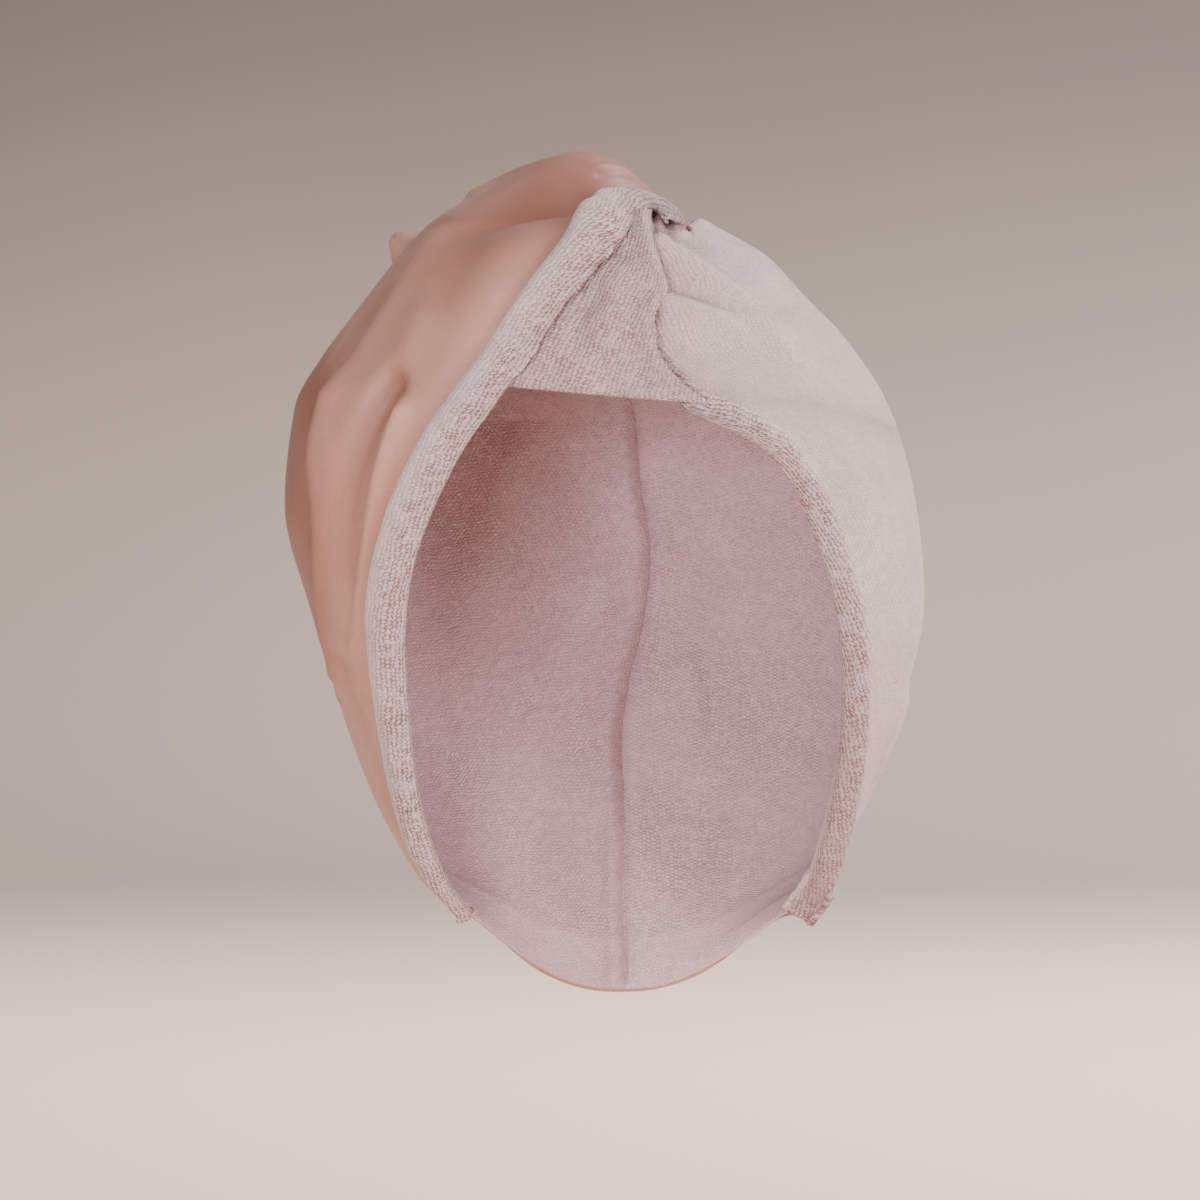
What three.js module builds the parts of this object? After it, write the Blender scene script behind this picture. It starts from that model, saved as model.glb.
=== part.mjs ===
import * as THREE from "three";

// A hair turban towel in the form it keeps on a head. Millimetres, +Z up, the face opening looks to -Y, and
// +X is on the right of someone who faces it. The origin is where the crown of the head carries the wrap.

// The sizes that the rest is worked out from.
const WRAP_WIDTH = 230; // widest place, side to side
const WRAP_HEIGHT = 306; // nape edge to the ridge of the twist
const WRAP_DEPTH = 200; // brow to the back of the head
const TERRY_WALL = 2.6; // looped cotton
const SATIN_WALL = 1.0; // smooth outer cloth
const CLEARANCE = 0.4; // between one layer and the next
const LEFT_TURN_WIDTH = 17; // the narrow turned edge, over its roll
const RIGHT_ROLL_WIDTH = 13; // the roll in which the wide panel turns outward
const TAIL_RADIUS = 17; // the twisted tail where it leaves the ridge
const TAIL_END_RADIUS = 9; // the twisted tail at the nape
const TAIL_FLATNESS = 0.78; // how far it is pressed against the wrap
const TAIL_TWISTS = 3;
const BUTTON_DIAMETER = 22;
const BUTTON_THICKNESS = 3.6;
const LOOP_THICKNESS = 3.2; // the elastic that catches the button

// Shares of WRAP_HEIGHT, counted up from the nape edge.
const CROWN_HEIGHT = 0.884; // where the crown of the head touches
const BROW_HEIGHT = 0.704;
const CORNER_HEIGHT = 0.096; // where the face opening meets the nape edge
const BUTTON_HEIGHT = 0.12;

// How square the level sections are: 2 is an ellipse.
const SQUARENESS = 2.3;

// Level sections of the satin's inner face, from the ridge of the twist down to the nape. left, right and lean
// are shares of WRAP_WIDTH; front, back and middle are shares of WRAP_DEPTH. lean and middle place the axis.
const SECTIONS = [
  { height: 1.0, left: -0.035, right: -0.026, front: -0.2, back: -0.18, middle: -0.19, lean: -0.03 },
  { height: 0.992, left: -0.066, right: -0.005, front: -0.25, back: -0.12, middle: -0.19, lean: -0.03 },
  { height: 0.975, left: -0.112, right: 0.03, front: -0.29, back: -0.07, middle: -0.185, lean: -0.035 },
  { height: 0.942, left: -0.195, right: 0.076, front: -0.335, back: -0.01, middle: -0.175, lean: -0.043 },
  { height: 0.91, left: -0.266, right: 0.125, front: -0.375, back: 0.1, middle: -0.14, lean: -0.043 },
  { height: 0.871, left: -0.318, right: 0.238, front: -0.41, back: 0.28, middle: -0.06, lean: -0.026 },
  { height: 0.818, left: -0.378, right: 0.312, front: -0.43, back: 0.4, middle: 0, lean: -0.013 },
  { height: 0.759, left: -0.44, right: 0.386, front: -0.44, back: 0.47, middle: 0.025, lean: 0 },
  { height: 0.704, left: -0.482, right: 0.434, front: -0.44, back: 0.5, middle: 0.04, lean: 0 },
  { height: 0.59, left: -0.498, right: 0.476, front: -0.415, back: 0.52, middle: 0.045, lean: 0 },
  { height: 0.475, left: -0.46, right: 0.49, front: -0.375, back: 0.51, middle: 0.05, lean: 0.009 },
  { height: 0.361, left: -0.414, right: 0.458, front: -0.32, back: 0.485, middle: 0.065, lean: 0.017 },
  { height: 0.246, left: -0.362, right: 0.398, front: -0.23, back: 0.45, middle: 0.11, lean: 0.022 },
  { height: 0.148, left: -0.292, right: 0.348, front: -0.1, back: 0.42, middle: 0.18, lean: 0.026 },
  { height: 0.096, left: -0.228, right: 0.3, front: 0, back: 0.405, middle: 0.22, lean: 0.026 },
  { height: 0, left: -0.183, right: 0.245, front: 0.1, back: 0.38, middle: 0.25, lean: 0.026 },
];

// The cloth's front edges as seen from the front: across is a share of WRAP_WIDTH, from the middle.
const LEFT_EDGE = [
  { height: 0.096, across: -0.207, width: 0.3 },
  { height: 0.181, across: -0.276, width: 0.62 },
  { height: 0.269, across: -0.297, width: 0.8 },
  { height: 0.361, across: -0.306, width: 0.95 },
  { height: 0.433, across: -0.309, width: 1 },
  { height: 0.488, across: -0.302, width: 1 },
  { height: 0.544, across: -0.283, width: 1 },
  { height: 0.599, across: -0.25, width: 1 },
  { height: 0.655, across: -0.207, width: 1 },
  { height: 0.697, across: -0.165, width: 1 },
  { height: 0.737, across: -0.126, width: 1 },
  { height: 0.792, across: -0.076, width: 1 },
  { height: 0.841, across: -0.022, width: 1 },
  { height: 0.877, across: 0.025, width: 0.95 },
  { height: 0.906, across: 0.048, width: 0.9 },
  { height: 0.92, across: 0.064, width: 0.8 },
  { height: 0.912, across: 0.079, width: 0.65 },
  { height: 0.9, across: 0.086, width: 0.55 },
];
const EDGE_TURNS = 16; // rows of the left edge up to where it turns down again
const RIGHT_EDGE = [
  { height: 0.096, across: 0.295 },
  { height: 0.148, across: 0.335 },
  { height: 0.21, across: 0.353 },
  { height: 0.269, across: 0.365 },
  { height: 0.341, across: 0.371 },
  { height: 0.41, across: 0.368 },
  { height: 0.456, across: 0.359 },
  { height: 0.511, across: 0.341 },
  { height: 0.567, across: 0.315 },
  { height: 0.612, across: 0.285 },
  { height: 0.648, across: 0.248 },
  { height: 0.675, across: 0.207 },
  { height: 0.694, across: 0.157 },
  { height: 0.73, across: 0.104 },
  { height: 0.759, across: 0.08 },
  { height: 0.786, across: 0.074 },
  { height: 0.818, across: 0.093 },
  { height: 0.851, across: 0.078 },
  { height: 0.884, across: 0.065 },
];

// Folds as crests from one place to another. turn is in degrees from the front, to the left below zero;
// height is a share of WRAP_HEIGHT; width and rise are shares of WRAP_WIDTH.
const SATIN_FOLDS = [
  { fromTurn: -63, fromHeight: 0.72, toTurn: -84, toHeight: 0.4, width: 0.0391, rise: 0.013 },
  { fromTurn: -41, fromHeight: 0.7, toTurn: -62, toHeight: 0.45, width: 0.0261, rise: 0.0087 },
  { fromTurn: -104, fromHeight: 0.908, toTurn: -126, toHeight: 0.872, width: 0.0304, rise: 0.052 },
  { fromTurn: -150, fromHeight: 0.9, toTurn: -140, toHeight: 0.62, width: 0.0522, rise: 0.017 },
];
const RIGHT_FOLDS = [
  { fromTurn: 24, fromHeight: 0.868, toTurn: 52, toHeight: 0.79, width: 0.0391, rise: 0.013 },
  { fromTurn: 18, fromHeight: 0.82, toTurn: 44, toHeight: 0.765, width: 0.0348, rise: 0.01 },
  { fromTurn: 88, fromHeight: 0.36, toTurn: 95, toHeight: 0.2, width: 0.0609, rise: 0.011 },
];
const LINING_FOLDS = [
  { fromTurn: -168, fromHeight: 0.62, toTurn: -172, toHeight: 0.2, width: 0.0565, rise: 0.015 },
  { fromTurn: 160, fromHeight: 0.6, toTurn: 150, toHeight: 0.25, width: 0.0696, rise: 0.011 },
];

// Where the twisted tail lies on the back of the wrap.
const TAIL_ROUTE = [
  { turn: -176, height: 0.94, radius: -0.4 },
  { turn: -184, height: 0.908, radius: 0.7 },
  { turn: -192, height: 0.87, radius: 0.98 },
  { turn: -194, height: 0.8, radius: 0.94 },
  { turn: -193, height: 0.7, radius: 0.86 },
  { turn: -189, height: 0.55, radius: 0.68 },
  { turn: -184, height: 0.36, radius: 0.38 },
  { turn: -180, height: 0.17, radius: 0.0 },
];

// The middle line of a turned edge's wall, from under the cloth round its edge to over it. along is a share of
// the roll's width from the edge, nose a share of the wall, side tells under (-1) from over (1) the layers, and
// puff is a share of the roll's fullness.
const TURNED_ROLL = [
  { along: 0.53, nose: 0, side: -1, puff: 0 },
  { along: 0.28, nose: 0, side: -1.04, puff: 0 },
  { along: 0.02, nose: -0.1, side: -0.95, puff: 0 },
  { along: -0.06, nose: -0.8, side: 0, puff: 0 },
  { along: -0.02, nose: -0.4, side: 1, puff: 0.35 },
  { along: 0.2, nose: 0, side: 1, puff: 1 },
  { along: 0.48, nose: 0, side: 1, puff: 0.75 },
  { along: 0.7, nose: 0, side: 1, puff: 0.05 },
];

const SATIN_OUT = SATIN_WALL;
const LINING_OUT = -2 * CLEARANCE;
const LINING_IN = LINING_OUT - TERRY_WALL;
const RADIANS = Math.PI / 180;

const lerp = (a, b, share) => a + (b - a) * share;
const clamp = (value, low, high) => Math.min(high, Math.max(low, value));

function smoothStep(low, high, value) {
  const share = clamp((value - low) / (high - low), 0, 1);
  return share * share * (3 - 2 * share);
}

// A smooth curve through one column of a table, without overshoot between rows.
function curveThrough(rows, key, value) {
  const list = [...rows].sort((a, b) => a[key] - b[key]);
  const slopes = [];
  for (let i = 0; i < list.length - 1; i += 1) {
    slopes.push((list[i + 1][value] - list[i][value]) / (list[i + 1][key] - list[i][key]));
  }
  const tangents = list.map((row, i) => {
    if (i === 0) return slopes[0];
    if (i === list.length - 1) return slopes[i - 1];
    if (slopes[i - 1] * slopes[i] <= 0) return 0;
    return (2 * slopes[i - 1] * slopes[i]) / (slopes[i - 1] + slopes[i]);
  });
  return (at) => {
    const place = clamp(at, list[0][key], list[list.length - 1][key]);
    let i = 0;
    while (i < list.length - 2 && place > list[i + 1][key]) i += 1;
    const span = list[i + 1][key] - list[i][key];
    const t = (place - list[i][key]) / span;
    const a = list[i][value];
    const b = list[i + 1][value];
    const rise = (1 + 2 * t) * (1 - t) * (1 - t) * a + t * t * (3 - 2 * t) * b;
    return rise + span * (t * (1 - t) * (1 - t) * tangents[i] - t * t * (1 - t) * tangents[i + 1]);
  };
}

const sectionColumn = {};
for (const name of ["left", "right", "front", "back", "middle", "lean"]) {
  sectionColumn[name] = curveThrough(SECTIONS, "height", name);
}

function sectionAt(height) {
  const lean = sectionColumn.lean(height) * WRAP_WIDTH;
  const middle = sectionColumn.middle(height) * WRAP_DEPTH;
  return {
    lean,
    middle,
    left: lean - sectionColumn.left(height) * WRAP_WIDTH,
    right: sectionColumn.right(height) * WRAP_WIDTH - lean,
    front: middle - sectionColumn.front(height) * WRAP_DEPTH,
    back: sectionColumn.back(height) * WRAP_DEPTH - middle,
  };
}

const levelOf = (height) => (height - CROWN_HEIGHT) * WRAP_HEIGHT;

// A point of the wrap's form: turn in radians from the front, height as a share.
function wrapPoint(turn, height) {
  const section = sectionAt(height);
  const across = Math.sin(turn);
  const ahead = Math.cos(turn);
  const side = across < 0 ? section.left : section.right;
  const depth = ahead > 0 ? section.front : section.back;
  const sum = (Math.abs(across) / side) ** SQUARENESS + (Math.abs(ahead) / depth) ** SQUARENESS;
  const reach = sum ** (-1 / SQUARENESS);
  return new THREE.Vector3(section.lean + reach * across, section.middle - reach * ahead, levelOf(height));
}

// The inside of the hood follows the wrap up to the brow and closes over the crown of the head as a dome.
function hoodPoint(turn, height) {
  if (height <= BROW_HEIGHT) return wrapPoint(turn, height);
  const share = clamp((height - BROW_HEIGHT) / (CROWN_HEIGHT - BROW_HEIGHT), 0, 0.9995);
  const brow = wrapPoint(turn, BROW_HEIGHT);
  const centre = sectionAt(BROW_HEIGHT);
  const shrink = Math.sqrt(1 - share * share) * (1 - 0.13 * Math.sin(Math.PI * share));
  return new THREE.Vector3(
    centre.lean + (brow.x - centre.lean) * shrink,
    centre.middle + (brow.y - centre.middle) * shrink,
    levelOf(height),
  );
}

// The directions of a surface at a place: round it, up it, and straight out of it.
function frameAt(surface, turn, height) {
  const round = surface(turn + 0.01, height).sub(surface(turn - 0.01, height)).divideScalar(0.02);
  const low = Math.max(height - 0.004, 0);
  const high = height + 0.004;
  const up = surface(turn, high).sub(surface(turn, low)).divideScalar(high - low);
  const out = round.clone().cross(up).normalize();
  return { round, up, out };
}

function layerPoint(surface, turn, height, out) {
  return surface(turn, height).addScaledVector(frameAt(surface, turn, height).out, out);
}

// The turn at which the front of a section reaches a place across.
function turnFor(across, height) {
  const section = sectionAt(height);
  const offset = across * WRAP_WIDTH - section.lean;
  const side = offset < 0 ? section.left : section.right;
  const share = Math.min(Math.abs(offset) / side, 0.995);
  const depth = section.front * (1 - share ** SQUARENESS) ** (1 / SQUARENESS);
  return Math.atan2(Math.sign(offset) * share * side, depth);
}

const leftAcross = curveThrough(LEFT_EDGE.slice(0, EDGE_TURNS), "height", "across");
const rightAcross = curveThrough(RIGHT_EDGE, "height", "across");
const leftTurn = (height) => turnFor(leftAcross(height), height);
const rightTurn = (height) => turnFor(rightAcross(height), height);
const EDGE_TOP = LEFT_EDGE[EDGE_TURNS - 1].height;

// The nape edge dips from the corners of the face opening to the middle of the back.
function hemHeight(turn) {
  if (Math.cos(turn) > 0) return CORNER_HEIGHT;
  const section = sectionAt(CORNER_HEIGHT / 2);
  const spot = wrapPoint(turn, CORNER_HEIGHT / 2);
  const side = spot.x < section.lean ? section.left : section.right;
  return CORNER_HEIGHT * Math.min(1, Math.abs(spot.x - section.lean) / side) ** 2.7;
}

// How far a table of folds lifts the cloth at a place.
function foldField(surface, folds) {
  const crests = folds.map((fold) => {
    const points = [0, 0.2, 0.4, 0.6, 0.8, 1].map((share) =>
      surface(
        lerp(fold.fromTurn, fold.toTurn, share) * RADIANS,
        lerp(fold.fromHeight, fold.toHeight, share),
      ),
    );
    return { fold, points };
  });
  const near = new THREE.Vector3();
  return (point) => {
    let rise = 0;
    for (const { fold, points } of crests) {
      let best = Infinity;
      for (let i = 0; i < points.length - 1; i += 1) {
        new THREE.Line3(points[i], points[i + 1]).closestPointToPoint(point, true, near);
        best = Math.min(best, near.distanceTo(point));
      }
      rise += fold.rise * WRAP_WIDTH * Math.exp(-((best / (fold.width * WRAP_WIDTH)) ** 2));
    }
    return rise;
  };
}

// A closed wall from two grids of points, the first grid on its outer face.
function wallBetween(outer, inner) {
  const rows = outer.length;
  const columns = outer[0].length;
  const positions = [];
  for (const grid of [outer, inner]) {
    for (const row of grid) for (const point of row) positions.push(point.x, point.y, point.z);
  }
  const at = (side, row, column) => side * rows * columns + row * columns + column;
  const faces = [];
  const quad = (a, b, c, d) => faces.push(a, b, c, a, c, d);
  for (let row = 0; row < rows - 1; row += 1) {
    for (let column = 0; column < columns - 1; column += 1) {
      quad(at(0, row, column), at(0, row, column + 1), at(0, row + 1, column + 1), at(0, row + 1, column));
      quad(at(1, row, column), at(1, row + 1, column), at(1, row + 1, column + 1), at(1, row, column + 1));
    }
  }
  for (let row = 0; row < rows - 1; row += 1) {
    const last = columns - 1;
    quad(at(0, row, 0), at(0, row + 1, 0), at(1, row + 1, 0), at(1, row, 0));
    quad(at(0, row, last), at(1, row, last), at(1, row + 1, last), at(0, row + 1, last));
  }
  for (let column = 0; column < columns - 1; column += 1) {
    const last = rows - 1;
    quad(at(0, 0, column), at(1, 0, column), at(1, 0, column + 1), at(0, 0, column + 1));
    quad(at(0, last, column), at(0, last, column + 1), at(1, last, column + 1), at(1, last, column));
  }
  return closedGeometry(positions, faces);
}

// A closed rod from rings of points, with flat ends.
function rodThrough(rings) {
  const count = rings[0].length;
  const positions = [];
  for (const ring of rings) for (const point of ring) positions.push(point.x, point.y, point.z);
  const faces = [];
  for (let i = 0; i < rings.length - 1; i += 1) {
    for (let j = 0; j < count; j += 1) {
      const next = (j + 1) % count;
      const a = i * count + j;
      const b = i * count + next;
      faces.push(a, b, b + count, a, b + count, a + count);
    }
  }
  for (const [ring, turned] of [[0, false], [rings.length - 1, true]]) {
    const middle = positions.length / 3;
    const centre = rings[ring].reduce((sum, point) => sum.add(point), new THREE.Vector3());
    centre.divideScalar(count);
    positions.push(centre.x, centre.y, centre.z);
    for (let j = 0; j < count; j += 1) {
      const a = ring * count + j;
      const b = ring * count + ((j + 1) % count);
      if (turned) faces.push(middle, a, b);
      else faces.push(middle, b, a);
    }
  }
  return closedGeometry(positions, faces);
}

// Faces are turned over together when the solid would come out inside out.
function closedGeometry(positions, faces) {
  const corner = (index) => new THREE.Vector3(...positions.slice(3 * index, 3 * index + 3));
  let volume = 0;
  for (let i = 0; i < faces.length; i += 3) {
    volume += corner(faces[i]).dot(corner(faces[i + 1]).cross(corner(faces[i + 2])));
  }
  const ordered = [];
  for (let i = 0; i < faces.length; i += 3) {
    if (volume >= 0) ordered.push(faces[i], faces[i + 1], faces[i + 2]);
    else ordered.push(faces[i], faces[i + 2], faces[i + 1]);
  }
  const geometry = new THREE.BufferGeometry();
  geometry.setAttribute("position", new THREE.Float32BufferAttribute(positions, 3));
  geometry.setIndex(ordered);
  geometry.computeVertexNormals();
  return geometry;
}

// A cloth panel on a surface: place gives turn and height for shares up and round, relief the lift.
function panel({ surface, rows, columns, place, low, high, relief }) {
  const outer = [];
  const inner = [];
  for (let row = 0; row <= rows; row += 1) {
    const outerRow = [];
    const innerRow = [];
    for (let column = 0; column <= columns; column += 1) {
      const { turn, height, lift = 0 } = place(row / rows, column / columns);
      const base = surface(turn, height);
      const direction = frameAt(surface, turn, height).out;
      const rise = lift + (relief ? relief(base) : 0);
      outerRow.push(base.clone().addScaledVector(direction, high + rise));
      innerRow.push(base.clone().addScaledVector(direction, low + rise));
    }
    outer.push(outerRow);
    inner.push(innerRow);
  }
  return wallBetween(outer, inner);
}

// The forehead wrap lies over the right panel and under the left flap, so each is lifted clear of the next.
const LAYER = TERRY_WALL + CLEARANCE;
const ROLL_PUFF = 0.206 * LEFT_TURN_WIDTH;
const UNDER_BOTH = CLEARANCE + TERRY_WALL / 2 - LINING_IN; // the wall under the satin and its lining
const UNDER_SATIN = CLEARANCE + TERRY_WALL / 2;
const OVER_SATIN = SATIN_OUT + CLEARANCE + TERRY_WALL / 2;

function wrapLift(across, height) {
  const edge = rightAcross(Math.min(height, CROWN_HEIGHT));
  return smoothStep(edge - 0.12, edge - 0.07, across);
}

function overWrap(height) {
  return smoothStep(0.54, BROW_HEIGHT, height);
}

function flapLift(height) {
  const atTwist = smoothStep(0.76, 0.83, height);
  const past = 1 - smoothStep(0.868, 0.922, height);
  return (2.5 * LAYER * overWrap(height) + 1.2 * LAYER * atTwist) * past;
}

const satinFolds = foldField(wrapPoint, SATIN_FOLDS);
const rightFolds = foldField(wrapPoint, RIGHT_FOLDS);
const liningFolds = foldField(wrapPoint, LINING_FOLDS);

// Share up a panel to height, with rows closer together towards the ridge.
function climb(share, low, high) {
  return high - (high - low) * (1 - share) ** 1.35;
}

function liningHalf(side) {
  const edge = side < 0 ? leftTurn : rightTurn;
  const seam = side * (Math.PI - 0.004);
  return panel({
    surface: hoodPoint,
    rows: 20,
    columns: 13,
    low: LINING_IN,
    high: LINING_OUT,
    relief: (point) => -liningFolds(point),
    place: (up, round) => {
      const top = 0.78;
      const arch = BROW_HEIGHT - 0.03;
      const rise = 0.07;
      const levelAt = (low) => {
        if (up < top) return lerp(low, BROW_HEIGHT, up / top);
        return lerp(BROW_HEIGHT, CROWN_HEIGHT, Math.sin(((up - top) / (1 - top)) * 88 * RADIANS));
      };
      const frontHeight = levelAt(CORNER_HEIGHT);
      const back = side * (0.045 + 0.1 * smoothStep(0.47, 0.58, frontHeight));
      const open = Math.sqrt(clamp(1 - ((frontHeight - arch) / rise) ** 2, 0, 1));
      const rim = edge(Math.min(frontHeight, arch)) + back;
      const front = frontHeight <= arch ? rim : lerp(side * 0.004, rim, open);
      const turn = lerp(frontHeight > arch + rise ? side * 0.004 : front, seam, round);
      return { turn, height: levelAt(hemHeight(turn)) };
    },
  });
}

const SATIN_SEAM = Math.PI - 0.03; // turned a little from the lining's seam, so that no line shows through

const SATIN_TOP = 0.9998;

function satinHalf(side) {
  const seam = side < 0 ? SATIN_SEAM - 2 * Math.PI + 0.004 : SATIN_SEAM;
  return panel({
    surface: wrapPoint,
    rows: 26,
    columns: side < 0 ? 18 : 14,
    low: 0,
    high: SATIN_OUT,
    relief: satinFolds,
    place: (up, round) => {
      const frontHeight = climb(up, CORNER_HEIGHT, SATIN_TOP);
      const underRoll = 0.04 + 0.085 * smoothStep(0.81, 0.88, frontHeight);
      const flapTurn = leftTurn(Math.min(frontHeight, EDGE_TOP)) - underRoll;
      const tucked = rightTurn(Math.min(frontHeight, CROWN_HEIGHT));
      const behind = tucked + 0.02 + 0.12 * smoothStep(0.5, 0.62, frontHeight);
      const meet = smoothStep(CROWN_HEIGHT - 0.02, CROWN_HEIGHT + 0.02, frontHeight);
      const curl = 0.48 * smoothStep(0.87, 0.885, frontHeight) * (1 - smoothStep(0.918, 0.935, frontHeight));
      const front = side < 0 ? flapTurn : lerp(behind, flapTurn + 0.02, meet) + curl;
      const turn = lerp(front, seam, round);
      const height = climb(up, hemHeight(turn) - 0.005 * (1 - up), SATIN_TOP);
      const lift = side < 0 ? flapLift(height) * (1 - smoothStep(0.1, 0.5, round)) : 0;
      return { turn, height, lift };
    },
  });
}

// A step square to an edge, told as a change of turn and height on the surface.
function stepFrom(surface, turn, height, along, distance) {
  const { round, up, out } = frameAt(surface, turn, height);
  const side = out.clone().cross(along).normalize().multiplyScalar(distance);
  const rr = round.dot(round);
  const ru = round.dot(up);
  const uu = up.dot(up);
  const solve = rr * uu - ru * ru;
  const sr = side.dot(round);
  const su = side.dot(up);
  return { turn: turn + (sr * uu - su * ru) / solve, height: height + (su * rr - sr * ru) / solve };
}

// The middle line of the turned roll's wall, as steps from the edge and out of the surface. Over the forehead
// the roll folds round the satin alone, with a shorter part underneath.
function rollSteps(width, puff, over) {
  const under = lerp(UNDER_BOTH, UNDER_SATIN, over);
  return TURNED_ROLL.map((row) => {
    const reach = row.side < 0 ? lerp(1, 0.55, over) : 1;
    return {
      step: row.along * width * reach + row.nose * TERRY_WALL,
      out: row.side < 0 ? row.side * under : row.side * OVER_SATIN + row.puff * puff,
    };
  });
}

// A smooth path through places of a table, told as turn and height for a share along it.
function edgePath(rows) {
  const spots = rows.map(({ height, across, width = 1 }) => {
    return new THREE.Vector3(turnFor(across, height), height, width);
  });
  return new THREE.CatmullRomCurve3(spots, false, "centripetal");
}

function turnedLeftEdge() {
  const stations = 36;
  const path = edgePath(LEFT_EDGE);
  const outer = [];
  const inner = [];
  for (let i = 0; i <= stations; i += 1) {
    const share = i / stations;
    const spot = path.getPoint(share);
    const ahead = path.getPoint(Math.min(share + 0.01, 1));
    const behind = path.getPoint(Math.max(share - 0.01, 0));
    const along = wrapPoint(ahead.x, ahead.y).sub(wrapPoint(behind.x, behind.y)).normalize();
    const steps = rollSteps(LEFT_TURN_WIDTH * spot.z, ROLL_PUFF * spot.z, overWrap(spot.y));
    const middle = steps.map(({ step, out }) => {
      const place = stepFrom(wrapPoint, spot.x, spot.y, along, step);
      const lifts = [flapLift(spot.y), flapLift(place.height)];
      if (out < 0) return layerPoint(wrapPoint, place.turn, place.height, out + Math.min(...lifts));
      const fold = satinFolds(wrapPoint(place.turn, place.height));
      return layerPoint(wrapPoint, place.turn, place.height, out + Math.max(...lifts) + fold);
    });
    const [outerRow, innerRow] = thicken(middle, TERRY_WALL / 2, along);
    outer.push(outerRow);
    inner.push(innerRow);
  }
  return wallBetween(outer, inner);
}

// Moves a row of points to both sides of itself, square to the row and to the way along the edge.
function thicken(row, half, along) {
  const outerRow = [];
  const innerRow = [];
  row.forEach((point, i) => {
    const before = row[Math.max(i - 1, 0)];
    const after = row[Math.min(i + 1, row.length - 1)];
    const side = after.clone().sub(before).cross(along).normalize();
    outerRow.push(point.clone().addScaledVector(side, half));
    innerRow.push(point.clone().addScaledVector(side, -half));
  });
  return [outerRow, innerRow];
}

const PANEL_TOP = 0.892;

function turnedRightPanel() {
  const stations = 30;
  const reach = 12;
  const backTurn = 158 * RADIANS;
  const outer = [];
  const inner = [];
  for (let i = 0; i <= stations; i += 1) {
    const up = i / stations;
    const height = lerp(CORNER_HEIGHT + 0.004, PANEL_TOP - 0.008, up);
    const over = smoothStep(BROW_HEIGHT - 0.06, BROW_HEIGHT - 0.01, height);
    const edgeAt = (level) => {
      const place = Math.min(level, CROWN_HEIGHT);
      return turnFor(rightAcross(place) - 0.03 * over, place);
    };
    const ahead = wrapPoint(edgeAt(height + 0.006), height + 0.006);
    const behind = wrapPoint(edgeAt(height - 0.006), height - 0.006);
    const along = behind.sub(ahead).normalize();
    const low = 1 - smoothStep(CORNER_HEIGHT, 0.25, height);
    const width = RIGHT_ROLL_WIDTH * (1 - 0.45 * low);
    const steps = rollSteps(width, ROLL_PUFF * (1 - over), over);
    const middle = steps.map(({ step, out }) => {
      const place = stepFrom(wrapPoint, edgeAt(height), height, along, step);
      const base = wrapPoint(place.turn, place.height);
      return layerPoint(wrapPoint, place.turn, place.height, out + (out > 0 ? rightFolds(base) : 0));
    });
    const lastStep = steps[steps.length - 1];
    const last = stepFrom(wrapPoint, edgeAt(height), height, along, lastStep.step);
    for (let j = 1; j <= reach; j += 1) {
      const share = (j / reach) ** 1.25;
      const turn = lerp(last.turn, backTurn, share);
      const rowHeight = lerp(hemHeight(turn) + 0.008, PANEL_TOP, up);
      const level = lerp(last.height, rowHeight, smoothStep(0, 0.6, share));
      const out = lerp(lastStep.out, OVER_SATIN + CLEARANCE * 2, smoothStep(0, 0.3, share));
      middle.push(layerPoint(wrapPoint, turn, level, out + rightFolds(wrapPoint(turn, level))));
    }
    const [outerRow, innerRow] = thicken(middle, TERRY_WALL / 2, along);
    outer.push(outerRow);
    inner.push(innerRow);
  }
  return wallBetween(outer, inner);
}

function foreheadWrap() {
  return panel({
    surface: wrapPoint,
    rows: 12,
    columns: 10,
    low: SATIN_OUT + CLEARANCE,
    high: SATIN_OUT + LAYER,
    place: (up, round) => {
      const low = lerp(BROW_HEIGHT + 0.014, BROW_HEIGHT - 0.008, round);
      const height = lerp(low, CROWN_HEIGHT - 0.012, up);
      const left = leftAcross(height + 0.01) - 0.035;
      const across = lerp(left, rightAcross(height) - 0.004, round);
      const turn = turnFor(across, height);
      const over = wrapLift(across, height);
      return { turn, height, lift: over * (LAYER + rightFolds(wrapPoint(turn, height))) };
    },
  });
}

const routeTurn = curveThrough(TAIL_ROUTE, "height", "turn");
const routeRadius = curveThrough(TAIL_ROUTE, "height", "radius");

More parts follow.
